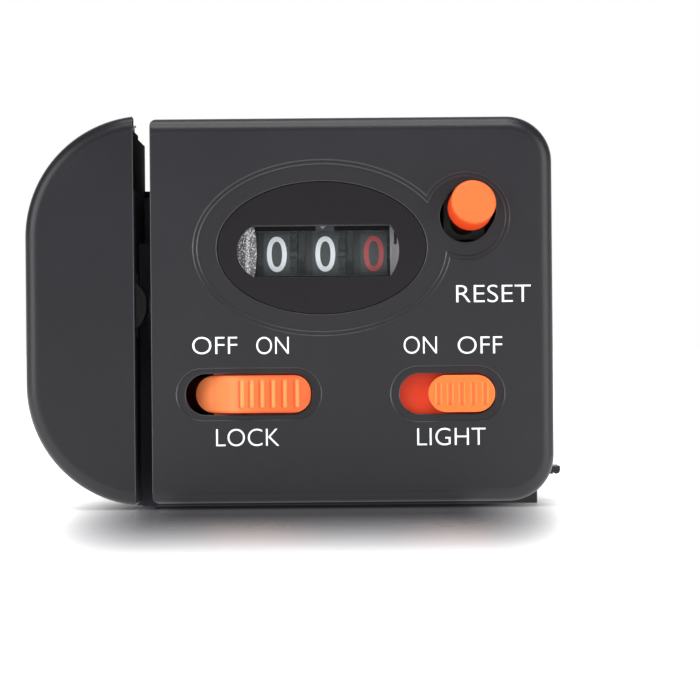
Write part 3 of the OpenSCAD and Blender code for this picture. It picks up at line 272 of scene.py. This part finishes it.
def moulded_plastic(name, colour, roughness, grain=0.4 * MM, grain_depth=0.012 * MM, edge=0.12 * MM,
                    rim=0.0, shaded=None, shine=0.5):
    """Moulded plastic: a fine eroded grain, slight clouds in tone and gloss, and softened edges.

    rim is how much lighter the edges are painted, as a painted highlight that is weakest on edges that
    face up and weak on those that face down. shaded is a range along X in which the walls are painted
    dark grey, and almost black above SLOT_BLACK_ABOVE, as painted shade, because they lie so deep.
    shine is the strength of the gloss.
    """
    finish = Finish(name)
    clouds = finish.noise(12 * MM, 3)
    fine = finish.noise(grain, 3)
    coarse = finish.noise(3 * grain, 2)
    tone = finish.mix(0.5 * clouds + 0.5 * fine, times(0.8, colour), times(1.2, colour))
    gloss = roughness - 0.05 + 0.1 * clouds
    if rim:
        # Painted highlight: the edges are painted lighter and made glossier.
        painted_edge_highlight = rim * finish.edges(edge, upper=0.12, lower=0.4)
        edge_highlight_colour = (*[0.2 + 0.8 * part for part in colour[:3]], 1.0)
        tone = finish.mix(painted_edge_highlight, tone, edge_highlight_colour)
        gloss = gloss - 0.15 * painted_edge_highlight
    plain = finish.shader(Base_Color=tone, Roughness=gloss, Specular_IOR_Level=shine,
                          Normal=finish.bump(0.7 * fine + 0.3 * coarse, grain_depth, 0.8, edge))
    if not shaded:
        return finish.ending(plain)
    # Painted shade on the walls inside the slot.
    black = finish.at("Z").over(SLOT_BLACK_ABOVE, 0.4 * MM)
    deep = finish.shader(Base_Color=finish.mix(black, rgb(54, 53, 60), rgb(13, 12, 15)),
                         Roughness=0.9, Specular_IOR_Level=0.04)
    inside = finish.at("X").between(*shaded, SLOT_SKIN)
    return finish.ending(finish.node("ShaderNodeMixShader", None, {0: inside, 1: plain, 2: deep}))


def dress(material, *names):
    """Gives CAD nodes one finish."""
    for name in names:
        mesh = NODES[name].data
        mesh.materials.clear()
        mesh.materials.append(material)


dress(moulded_plastic("housing_black", rgb(28, 27, 32), 0.36, grain_depth=HOUSING_GRAIN_DEPTH,
                      edge=HOUSING_EDGE, rim=1.0, shaded=SLOT_WALLS, shine=0.46),
      "front_cover", "rear_cover", "battery_tray", "rod_saddle", "clamp_shoe")
# Painted shade: the housing's plastic, painted a tone darker for the wing's cover.
dress(moulded_plastic("wing_black_painted_shade", rgb(26, 25, 30), 0.34, grain_depth=HOUSING_GRAIN_DEPTH,
                      edge=HOUSING_EDGE, rim=1.0, shaded=SLOT_WALLS, shine=0.42),
      "wing_cover")


# Steel: the screws, the turned shafts and pins, the spring leaf and the case of the slide switch. All
# show fine lines from working, which run along X on every piece, under a thin grey film.
METAL_EDGE = 0.04 * MM
METAL_LINE_DEPTH = 0.006 * MM
LINES_THINNER_THAN_LONG = 14


def worked_metal(name, colour, roughness):
    """Bare metal with fine lines, cloudy film marks and softened edges.

    The lines are noise that changes fourteen times as fast along Y and Z as along X.
    """
    finish = Finish(name)
    lines = finish.node("ShaderNodeMapping", None, {
        "Vector": finish.place, "Scale": (1, LINES_THINNER_THAN_LONG, LINES_THINNER_THAN_LONG)})
    brushed = finish.noise(2 * MM, 4, lines)
    marks = finish.noise(4 * MM, 3)
    return finish.surface(
        Base_Color=finish.mix(0.25 * marks, colour, times(0.55, colour)),
        Metallic=1.0,
        Roughness=roughness + 0.18 * marks * brushed,
        Normal=finish.bump(brushed, METAL_LINE_DEPTH, 0.6, METAL_EDGE))


dress(worked_metal("bright_steel", rgb(168, 170, 175), 0.34),
      "line_guide_pin", "cover_screws", "drum_shaft", "pinion_shaft", "frame_screws", "wheel_shaft",
      "drive_worm", "lock_screws", "pinch_pin", "reset_shaft", "reset_spring", "light_switch",
      "board_screws", "saddle_screws", "thumb_screw")


# The lock's arm, which carries the pinch roller behind the slider, is steel. It is painted dark
# reddish brown as painted shade, so that nothing bright shows through the opening beside the lock
# slider.
dress(worked_metal("steel_painted_shade", rgb(96, 44, 36), 0.5), "lock_arm")


# Brass: the turned bushes, the cut worm gear, the stamped battery contacts and bridge, and the nut
# that the rod clamp's thumb screw runs in.
dress(worked_metal("brass", rgb(214, 178, 96), 0.3),
      "worm_gear", "front_bush", "rear_bush", "contact_bridge", "battery_contacts", "clamp_nut")


# Natural nylon, moulded with a smooth satin skin: the bracket that carries the counter, and the two
# pinions that step the drums.
dress(moulded_plastic("nylon", rgb(226, 224, 214), 0.42, grain_depth=0.004 * MM),
      "pinion_left", "pinion_right", "counter_frame")


# Black rubber, moulded with a coarse dull grain: the tyres of the measuring wheel and of the pinch
# roller, and the pads that are bonded into the rod clamp.
dress(moulded_plastic("rubber", rgb(34, 34, 35), 0.78, grain=0.7 * MM, grain_depth=0.03 * MM),
      "wheel_tyre", "pinch_tyre", "saddle_pad", "shoe_pad")


# Dark moulded plastic: the wheel, the core of the pinch roller, the reset rocker, the slider of the
# slide switch, and the fluted knob of the thumb screw.
dress(moulded_plastic("dark_plastic", rgb(17, 17, 20), 0.5, rim=0.2),
      "measuring_wheel", "pinch_roller", "reset_lever", "switch_slider", "thumb_knob")


# The display: a smooth oval bezel of black plastic let into the recess, and a moulded clear window
# behind it. A black band of painted shadow runs along the window's top, open where the numeral that
# comes next on the middle drum shows.
WINDOW_X = COVER_LOW.x + 25.53 * MM
WINDOW_Z = 38.43 * MM
WINDOW_HIGH = 7.8 * MM
SHADOW_BAND_FROM_TOP = (-0.86 * MM, -0.14 * MM)
HIGHLIGHT_LINE_FROM_TOP = -0.16 * MM
SHADOW_FOOT_HIGH = 0.2 * MM
NEXT_NUMERAL_X = (WINDOW_X - 0.7 * MM, WINDOW_X + 1.6 * MM)


def clear_plastic():
    """Clear window: nearly transparent, with a faint haze, and painted black as painted shade where
    its edges show the walls.

    A black band of painted shadow and a grey line of painted highlight run along its top, and a black
    foot of painted shade along its bottom. The band is open where the next numeral shows through.
    """
    finish = Finish("clear_window")
    haze = finish.noise(6 * MM, 2)
    from_top = finish.at("Z") - (WINDOW_Z + 0.5 * WINDOW_HIGH)
    from_bottom = finish.at("Z") - (WINDOW_Z - 0.5 * WINDOW_HIGH)
    numeral = finish.at("X").between(*NEXT_NUMERAL_X, 0.3 * MM)
    # Painted shadow in the black band and foot, and a painted highlight in the grey line along the
    # top.
    band = from_top.between(*SHADOW_BAND_FROM_TOP, 0.08 * MM) * (1 - 0.9 * numeral)
    line = from_top.over(HIGHLIGHT_LINE_FROM_TOP, 0.05 * MM)
    foot = 1 - from_bottom.over(SHADOW_FOOT_HIGH, 0.1 * MM)
    tone = finish.mix(band + foot, rgb(116, 122, 124), rgb(10, 10, 12))
    return finish.surface(
        Base_Color=finish.mix(line, tone, rgb(92, 90, 94)),
        Roughness=0.06 + 0.06 * haze,
        Alpha=0.05 + 0.05 * haze + 0.9 * band + 0.7 * line + 0.85 * foot)


dress(moulded_plastic("bezel_black", rgb(14, 7, 15), 0.34, grain_depth=0.003 * MM, edge=0.1 * MM,
                      shine=0.4),
      "display_bezel")
dress(clear_plastic(), "display_lens")


# Each end of the window is a small frosted facet of the clear plastic on the bezel's sloped end wall.
# The left one is a lens in outline, painted with glints of the light that runs along the window. The
# right one is a plain narrow sliver with a straight inner edge, painted with a dark opening as painted
# shade.
LENS_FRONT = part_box("display_lens")[0].y
BEZEL_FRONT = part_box("display_bezel")[0].y
FROST_REACH = 0.486 * WINDOW_HIGH
FROST_THICK = 0.02 * MM
FROST_PROUD = 0.03 * MM
LEFT_WALL = (WINDOW_X - 12.53 * MM, WINDOW_X - 10.36 * MM)
RIGHT_WALL = (WINDOW_X + 11.44 * MM, WINDOW_X + 10.32 * MM)
SPECK_LINE_X = WINDOW_X - 11.09 * MM
DARK_OPENING_X = (WINDOW_X + 10.78 * MM, WINDOW_X + 11.15 * MM)
DARK_OPENING_Z = (WINDOW_Z + 1.0 * MM, WINDOW_Z + 2.9 * MM)


def sparkling_frost():
    """Coarsely frosted clear plastic: white specks on black that crowd along an upright line."""
    finish = Finish("sparkling_frost")
    across = finish.at("X")
    # Painted glints: the white specks, and the lighter tone along the upright line and to the right,
    # stand for light that runs along the window.
    near = (1 - abs(across - SPECK_LINE_X) / (0.5 * MM)).over(0, 1)
    right = across.over(WINDOW_X - 10.9 * MM, 0.5 * MM)
    grains = finish.noise(0.22 * MM, 2)
    specks = (grains + 0.11 * near + 0.01 * right).over(0.56, 0.07)
    tone = 0.02 + 0.14 * near + 0.1 * right + 0.6 * specks
    return finish.surface(
        Base_Color=finish.mix(tone, rgb(22, 22, 26), rgb(240, 240, 242)),
        Roughness=0.5)


def plain_frost():
    """Finely frosted clear plastic: even grey, with a dark opening near its top."""
    finish = Finish("plain_frost")
    clouds = finish.noise(0.6 * MM, 3)
    # Painted shade: the opening is a dark patch painted near the top.
    opening = (finish.at("X").between(*DARK_OPENING_X, 0.06 * MM)
               * finish.at("Z").between(*DARK_OPENING_Z, 0.2 * MM))
    tone = finish.mix(0.5 * clouds, rgb(122, 120, 124), rgb(96, 95, 99))
    return finish.surface(Base_Color=finish.mix(opening, tone, rgb(20, 10, 12)), Roughness=0.45)


def closed_sheet(name, front, thick):
    """A thin closed sheet: front is a grid of points, and its back lies thick metres behind."""
    back = front + np.array([0.0, thick, 0.0])
    rows, columns = front.shape[:2]
    index = np.arange(rows * columns).reshape(rows, columns)
    corners = [index[:-1, :-1], index[:-1, 1:], index[1:, 1:], index[1:, :-1]]
    quads = np.stack(corners, axis=-1).reshape(-1, 4)
    rim = np.concatenate([index[0, :-1], index[:-1, -1], index[-1, :0:-1], index[:0:-1, 0]])
    after = np.roll(rim, -1)
    shift = rows * columns
    walls = np.stack([rim, rim + shift, after + shift, after], axis=-1)
    faces = np.concatenate([quads, quads[:, ::-1] + shift, walls])
    points = np.concatenate([front.reshape(-1, 3), back.reshape(-1, 3)])
    mesh = bpy.data.meshes.new(name)
    mesh.from_pydata(points.tolist(), [], faces.tolist())
    return welded(mesh)


def welded(mesh, cuts=()):
    """Joins the points that meet, turns the faces outwards, and cuts across at heights along Y."""
    work = bmesh.new()
    work.from_mesh(mesh)
    bmesh.ops.remove_doubles(work, verts=work.verts, dist=1e-7)
    bmesh.ops.recalc_face_normals(work, faces=work.faces)
    for height in cuts:
        everything = [*work.verts, *work.edges, *work.faces]
        bmesh.ops.bisect_plane(work, geom=everything, plane_co=(0, height, 0), plane_no=(0, 1, 0))
    work.to_mesh(mesh)
    work.free()
    mesh.update()
    return mesh


def add_piece(name, mesh, body, material):
    """A finished piece at the origin that rides on a body and takes the given finish."""
    mesh.materials.clear()
    mesh.materials.append(material)
    piece = bpy.data.objects.new(name, mesh)
    bpy.context.scene.collection.objects.link(piece)
    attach(piece, body)


def arc(share, centre, radius):
    """Where a circle lies along X, at a height that is a share of the frost's reach, from -1 to 1.

    The circle's centre, at the middle height of the window, and its radius are in millimetres. The
    root of the radius squared less the height squared is counted from the centre outwards.
    """
    high = FROST_REACH / MM * share
    return WINDOW_X + (centre + np.sign(centre) * np.sqrt(radius ** 2 - high ** 2)) * MM


def end_facet(name, wall, material, inner, outer):
    """A sheet between an inner and an outer edge, laid on an end wall.

    The edges are given along X for each share of the frost's reach, from -1 to 1. The depth follows
    the wall, which slopes from the bezel's front at its first place along X to the window at its
    second.
    """
    slope_x, window_x = wall
    share = np.linspace(-1, 1, 41)[:, None]
    across = np.linspace(0, 1, 15)[None, :]
    x = inner(share) + (outer(share) - inner(share)) * across
    z = WINDOW_Z + FROST_REACH * share + 0 * across
    down = np.clip((x - slope_x) / (window_x - slope_x), 0, 1)
    y = BEZEL_FRONT + (LENS_FRONT - BEZEL_FRONT) * down - FROST_PROUD
    sheet = closed_sheet(name, np.stack([x, y, z], axis=-1), FROST_THICK)
    add_piece(name, sheet, "housing", material)


end_facet("window_frost_left", LEFT_WALL, sparkling_frost(),
          inner=lambda share: WINDOW_X + (-9.8 - 0.38 * share ** 2) * MM,
          outer=lambda share: arc(share, -8.48, 4.17))
end_facet("window_frost_right", RIGHT_WALL, plain_frost(),
          inner=lambda share: WINDOW_X + (10.16 - 0.02 * share) * MM,
          outer=lambda share: arc(share, 5.3, 6.2))


# The three number drums: dark moulded wheels on one axis, each with the ten numerals printed round
# its band, one every 36 degrees. The two left drums are printed white and the right one red.
AXES = {joint["name"]: Vector(joint["pos_m"]) for joint in frame["joints"] if "pos_m" in joint}
DRUM_LOW, DRUM_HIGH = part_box("drum_middle")
DRUM_RADIUS = (DRUM_HIGH.z - DRUM_LOW.z) / 2
NUMERALS = "0123456789"
NUMERAL_HIGH = 5.4 * MM
NUMERAL_SQUEEZE = 0.88
INK_THICK = 0.04 * MM


def print_ink(name, colour):
    """Printed ink: an even coat with slightly uneven cover and a soft gloss."""
    finish = Finish(name)
    cover = finish.noise(0.6 * MM, 3)
    return finish.surface(
        Base_Color=finish.mix(0.7 * cover, colour, times(0.88, colour)),
        Roughness=0.4 + 0.1 * cover)


def points_of(mesh):
    """The places of a mesh's vertices, as an array of n by 3."""
    points = np.empty(3 * len(mesh.vertices))
    mesh.vertices.foreach_get("co", points)
    return points.reshape(-1, 3)


def letters(text, high, thin, wide=None, cuts=0):
    """Flat letters in the built in face as a closed mesh, centred, reading along X and up along Y.

    thin is how much narrower their strokes are on each side, as a share of the letter's size, and is
    below 0 where they are wider. Without a width they are squeezed as the numerals are. cuts is how
    many times they are cut across, so that they can be bent.
    """
    curve = bpy.data.curves.new(text, "FONT")
    curve.body = text
    curve.extrude = 0.5
    curve.offset = -thin
    curve.resolution_u = 5
    holder = bpy.data.objects.new(text, curve)
    bpy.context.scene.collection.objects.link(holder)
    bpy.context.view_layer.update()
    mesh = bpy.data.meshes.new_from_object(holder)
    bpy.data.objects.remove(holder)
    bpy.data.curves.remove(curve)
    points = points_of(mesh)
    low, top = points.min(axis=0), points.max(axis=0)
    up = high / (top[1] - low[1])
    along = wide / (top[0] - low[0]) if wide else NUMERAL_SQUEEZE * up
    points = (points - (low + top) / 2) * (along, up, INK_THICK)
    mesh.vertices.foreach_set("co", points.ravel())
    return welded(mesh, np.linspace(-0.5, 0.5, cuts + 2)[1:-1] * high)


def drum_numerals(name, joint, body, material):
    """Ten numerals bent round a drum.

    A numeral's height above its middle, over the radius, is its angle above that numeral's place,
    and each place is a tenth of a turn below the one before.
    """
    axis = AXES[joint]
    work = bmesh.new()
    for count, numeral in enumerate(NUMERALS):
        mesh = letters(numeral, NUMERAL_HIGH, thin=-0.004, cuts=10)
        x, height, proud = points_of(mesh).T
        angle = math.radians(360 / len(NUMERALS) * count) - height / DRUM_RADIUS
        radius = DRUM_RADIUS + proud
        y = axis.y - radius * np.cos(angle)
        z = axis.z - radius * np.sin(angle)
        mesh.vertices.foreach_set("co", np.stack([axis.x + x, y, z], axis=-1).ravel())
        work.from_mesh(mesh)
        bpy.data.meshes.remove(mesh)
    joined = bpy.data.meshes.new(name)
    work.to_mesh(joined)
    work.free()
    add_piece(name, joined, body, material)


dress(moulded_plastic("drum_plastic", rgb(44, 47, 48), 0.5, grain_depth=0.004 * MM, edge=0.05 * MM),
      "drum_left", "drum_middle", "drum_right")
numeral_ink = print_ink("numeral_ink", rgb(230, 238, 243))
red_ink = print_ink("red_ink", rgb(172, 54, 56))
drum_numerals("numerals_left", "hundreds_drum_spin", "hundreds_drum", numeral_ink)
drum_numerals("numerals_middle", "tens_drum_spin", "tens_drum", numeral_ink)
drum_numerals("numerals_right", "units_drum_spin", "units_drum", red_ink)


# Orange plastic: the ribbed lock slider, the light switch's knob with its sliding plate, and the
# slanted reset button. Each is painted redder where it sees less light, as painted shade: the lock to
# its right, the plate behind the knob, and the button's side away from its face, its stem nearly
# black. Their edges are painted lighter as painted highlights, and their ribs get painted highlights
# and shade.
ORANGE_EDGE = 0.12 * MM
LOCK_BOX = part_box("lock_slider")
LOCK_RIBS = [COVER_LOW.x + (13.47 + 1.4 * count + 0.046 * count ** 2) * MM for count in range(6)]
LOCK_RIB_HALF = 1.9 * MM
LOCK_EDGE_HALF = 2.35 * MM
KNOB_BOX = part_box("light_knob")
KNOB_RIBS = [COVER_LOW.x + (46.14 + 1.73 * count) * MM for count in range(-2, 3)]
KNOB_RIB_HALF = 1.45 * MM
KNOB_FRONT = FACE_Y - 0.6 * MM
KNOB_FADE = 2.0 * MM
CAP_TILT = math.radians(15)
CAP_LEAN = math.radians(7.5)
CAP_INWARD = -Vector((math.sin(CAP_LEAN) * math.cos(CAP_TILT),
                      -math.cos(CAP_LEAN) * math.cos(CAP_TILT), math.sin(CAP_TILT)))
CAP_TOP = float((points_of(NODES["reset_cap"].data) @ np.array(CAP_INWARD)).min())
CAP_FADE = 6 * MM


def orange_plastic(name, stops, along, start, length, marks=None):
    """Satin orange plastic whose colour runs through the stops over a length from start.

    A point's place on that length is its dot product with the direction along. The stops paint shade:
    the colour is redder where the piece sees less light. The edges are painted lighter as a painted
    highlight. marks may lay a further tone over the colour, made from the finish and the tone so far.
    """
    finish = Finish(name)
    clouds = finish.noise(6 * MM, 2)
    fine = finish.noise(0.3 * MM, 3)
    # Painted shade: the colour runs through the stops with the place along the piece.
    far = finish.dot(finish.place, tuple(along)).over(start, length)
    tone = finish.node("ShaderNodeValToRGB", {"stops": stops}, {0: far})
    tone = finish.mix(0.25 * clouds, tone, finish.mix(0.5, tone, stops[0][1]))
    # Painted highlight: the edges are painted a pale orange.
    tone = finish.mix(0.4 * finish.edges(ORANGE_EDGE), tone, rgb(255, 190, 120))
    if marks:
        tone = marks(finish, tone)
    return finish.surface(
        Base_Color=tone,
        Roughness=0.42 + 0.1 * clouds,
        Specular_IOR_Level=0.38,
        Normal=finish.bump(fine, 0.004 * MM, 0.6, ORANGE_EDGE))


def strips(finish, places, left, right):
    """1 on upright strips that reach from left to right of each place along X, and 0 elsewhere."""
    across = finish.at("X")
    return sum(across.between(place + left, place + right, 0.1 * MM) for place in places)


def off_middle(finish, box):
    """How far above or below the middle of a box a point lies, in metres."""
    return abs(finish.at("Z") - (box[0].z + box[1].z) / 2)


def lock_marks(finish, tone):
    """Painted highlights on the ribs' right, painted shade in the grooves at their left, and long
    edges painted redder as painted shade.
    """
    aside = off_middle(finish, LOCK_BOX)
    ribbed = 1 - aside.over(LOCK_RIB_HALF, 0.3 * MM)
    light = 0.55 * ribbed * strips(finish, LOCK_RIBS, -0.12 * MM, 0.3 * MM)
    dark = 0.6 * ribbed * strips(finish, LOCK_RIBS, -0.52 * MM, -0.3 * MM)
    tone = finish.mix(light, finish.mix(dark, tone, rgb(214, 66, 22)), rgb(255, 176, 100))
    return finish.mix(0.7 * aside.over(LOCK_EDGE_HALF, 0.5 * MM), tone, rgb(208, 54, 16))


def knob_marks(finish, tone):
    """Ribs with painted highlights along both sides and painted shade on top."""
    ribbed = 1 - off_middle(finish, KNOB_BOX).over(KNOB_RIB_HALF, 0.3 * MM)
    light = 0.6 * ribbed * strips(finish, KNOB_RIBS, -0.45 * MM, 0.45 * MM)
    dark = 1.2 * ribbed * strips(finish, KNOB_RIBS, -0.22 * MM, 0.22 * MM)
    return finish.mix(dark.over(0, 1), finish.mix(light, tone, rgb(255, 164, 84)), rgb(238, 98, 38))


dress(orange_plastic("lock_orange",
                     [(0.0, rgb(252, 138, 76)), (0.28, rgb(250, 130, 68)), (0.5, rgb(244, 108, 48)),
                      (1.0, rgb(220, 76, 22))],
                     (1, 0, 0), LOCK_BOX[0].x, LOCK_BOX[1].x - LOCK_BOX[0].x, lock_marks),
      "lock_slider")
dress(orange_plastic("knob_orange",
                     [(0.0, rgb(246, 116, 46)), (0.2, rgb(240, 102, 36)), (0.5, rgb(228, 50, 2))],
                     (0, 1, 0), KNOB_FRONT, KNOB_FADE, knob_marks),
      "light_knob")
dress(orange_plastic("reset_orange",
                     [(0.0, rgb(242, 105, 42)), (0.09, rgb(242, 105, 42)), (0.2, rgb(244, 78, 22)),
                      (0.6, rgb(236, 58, 12)), (0.68, rgb(60, 8, 2)), (0.8, rgb(14, 6, 6))],
                     CAP_INWARD, CAP_TOP, CAP_FADE),
      "reset_cap")


# The light's parts behind the display: a glass fibre board with a green mask over its etched tracks,
# and a lamp cast in clear resin.
def masked_board():
    """Green solder mask, lighter over the copper tracks beneath it, which are bent diagonal waves."""
    finish = Finish("board_green")
    tracks = finish.node("ShaderNodeTexWave", {"wave_profile": "SIN", "bands_direction": "DIAGONAL"},
                         {"Vector": finish.place, "Scale": 260.0, "Distortion": 6.0,
                          "Detail Scale": 60.0})
    return finish.surface(
        Base_Color=finish.mix(tracks.over(0.6, 0.1), rgb(20, 82, 44), rgb(34, 108, 62)),
        Roughness=0.3 + 0.1 * finish.noise(3 * MM))


dress(masked_board(), "circuit_board")
dress(moulded_plastic("lamp_clear", rgb(232, 236, 238), 0.18, grain_depth=0.001 * MM), "lamp")


# Two button cells with plain pressed steel cans, and the two wires in smooth red plastic that are
# soldered between their contacts and the board.
dress(worked_metal("cell_steel", rgb(208, 209, 212), 0.22), "battery_cells")
dress(moulded_plastic("wire_red", rgb(178, 34, 30), 0.35, grain_depth=0.002 * MM), "lead_wires")


# White lettering printed on the face. Each entry is a word, the place of its middle, right of the
# cover's left edge and above the floor, and its width, all in millimetres.
LETTER_HIGH = 2.6 * MM
WORDS = (
    ("RESET", 51.0, 31.83, 11.09),
    ("OFF", 9.45, 24.45, 6.7),
    ("ON", 18.05, 24.38, 4.84),
    ("LOCK", 14.24, 10.72, 9.4),
    ("ON", 40.04, 24.26, 4.96),
    ("OFF", 48.92, 24.18, 6.62),
    ("LIGHT", 44.56, 10.6, 10.18),
)


def print_words():
    """Stands each flat word upright on the face, half its thickness proud."""
    white_ink = print_ink("white_ink", rgb(246, 251, 255))
    for place, (word, right, above, wide) in enumerate(WORDS, 1):
        mesh = letters(word, LETTER_HIGH, thin=0.011, wide=wide * MM)
        mesh.transform(Matrix.Translation((COVER_LOW.x + right * MM, FACE_Y, above * MM))
                       @ Matrix.Rotation(math.pi / 2, 4, "X"))
        add_piece(f"print_{place}_{word.lower()}", mesh, "housing", white_ink)


print_words()


# The studio: a pale table that fades into a white room, a soft light above and behind the camera, and
# one at each side and one overhead that draw the rounded edges. Each light has a name, its place and
# diameter in metres, and its power in watts.
FLOOR_HALF = 40.0
FADE_START = 0.01
FADE_WIDTH = 0.102
SIDE_FADE = 6.0
BACK_FADE = 2.5
SHADE_RIGHT_OF_COVER_EDGE = 24.8 * MM
SHADE_HALF_WIDTH = 20.2 * MM
GLOW_UNDER_OBJECT = 0.6
GLOW_WIDTH = 0.02
LIGHTS = (
    ("key", (0.05, -0.75, 1.0), 0.6, 5.0),
    ("left", (-0.92, -0.66, 0.34), 0.95, 7.6),
    ("right", (0.92, -0.66, 0.15), 0.95, 6.2),
    ("top", (0.0, -0.05, 0.9), 0.5, 2.4),
)
LIT_POINT = Vector((0, 0, 0.03))
AMBIENT = 0.5
DIM_FRONT = 0.15


def white_table():
    """A pale satin table that mirrors the object and is pure white away from it.

    How far a point lies outside the shaded footprint, over the width of the fade, gives its glow and
    its colour, which is painted grey near the object, so that a painted shadow lies around it. To the
    sides and behind the distance counts several times, because the mirrored background is white there.
    Only
    the camera sees that painted shade: any other ray meets a table that glows nearly evenly.
    """
    finish = Finish("white_table")
    low, high = cad_bounds
    ahead = finish.at("Y")
    middle = COVER_LOW.x + SHADE_RIGHT_OF_COVER_EDGE
    aside = (abs(finish.at("X") - middle) - SHADE_HALF_WIDTH).larger(0)
    front = (low.y - ahead).larger(0)
    behind = (ahead - high.y).larger(0)
    distance = ((SIDE_FADE * aside) ** 2 + (front + BACK_FADE * behind) ** 2) ** 0.5
    far = distance.over(FADE_START, FADE_WIDTH)
    seen = finish.node("ShaderNodeLightPath", output="Is Camera Ray")
    unseen_glow = GLOW_UNDER_OBJECT + (1 - GLOW_UNDER_OBJECT) * distance.over(0, GLOW_WIDTH)
    glow = seen * far ** 3 + (1 - seen) * unseen_glow
    scuffs = finish.noise(12 * MM, 4)
    white = finish.mix(0.3 * scuffs.over(0.6, 0.2), rgb(228, 228, 230), rgb(205, 205, 208))
    # Painted shadow: near the object the table's colour is painted grey.
    return finish.surface(
        Base_Color=finish.mix(far, rgb(80, 80, 83), white),
        Roughness=0.16 + 0.28 * far + 0.06 * scuffs,
        IOR=1.8,
        Emission_Color=finish.mix(glow, (0, 0, 0, 1), (1, 1, 1, 1)),
        Emission_Strength=0.8)


def lay_table():
    """A square table under the object, whose edges are out of sight."""
    mesh = bpy.data.meshes.new("table")
    corners = [(-FLOOR_HALF, -FLOOR_HALF, 0), (FLOOR_HALF, -FLOOR_HALF, 0),
               (FLOOR_HALF, FLOOR_HALF, 0), (-FLOOR_HALF, FLOOR_HALF, 0)]
    mesh.from_pydata(corners, [], [(0, 1, 2, 3)])
    mesh.materials.append(white_table())
    table = bpy.data.objects.new("table", mesh)
    bpy.context.scene.collection.objects.link(table)


def hang_lights():
    """Round soft lights that face the middle of the object."""
    for name, spot, size, power in LIGHTS:
        data = bpy.data.lights.new(name, "AREA")
        data.shape = "DISK"
        data.size = size
        data.energy = power
        light = bpy.data.objects.new(name, data)
        facing = (LIT_POINT - Vector(spot)).to_track_quat("-Z", "Y").to_matrix().to_4x4()
        light.matrix_world = Matrix.Translation(spot) @ facing
        bpy.context.scene.collection.objects.link(light)


def white_world():
    """White behind the object, and dim in reflections of every other side.

    A mirrored ray sees more light the further it points along Y. The camera, and a ray that went
    through something clear, see plain white.
    """
    world = bpy.data.worlds.new("white")
    bpy.context.scene.world = world
    room = Nodes(world)
    away = room.part("Y", room.node("ShaderNodeTexCoord", output="Generated"))
    reflected = DIM_FRONT + (1 - DIM_FRONT) * away.over(0.55, 0.3)
    mirrored = room.node("ShaderNodeLightPath", output="Is Glossy Ray")
    direct = room.node("ShaderNodeLightPath", output="Is Camera Ray")
    through = room.node("ShaderNodeLightPath", output="Is Transmission Ray")
    light = (1 - mirrored) * AMBIENT + mirrored * reflected
    background = room.node("ShaderNodeBackground", None, {
        "Color": (1.0, 1.0, 1.0, 1.0), "Strength": light.larger(direct.larger(through))})
    room.node("ShaderNodeOutputWorld", None, {"Surface": background})


lay_table()
hang_lights()
white_world()
bpy.context.scene.view_settings.view_transform = "Standard"
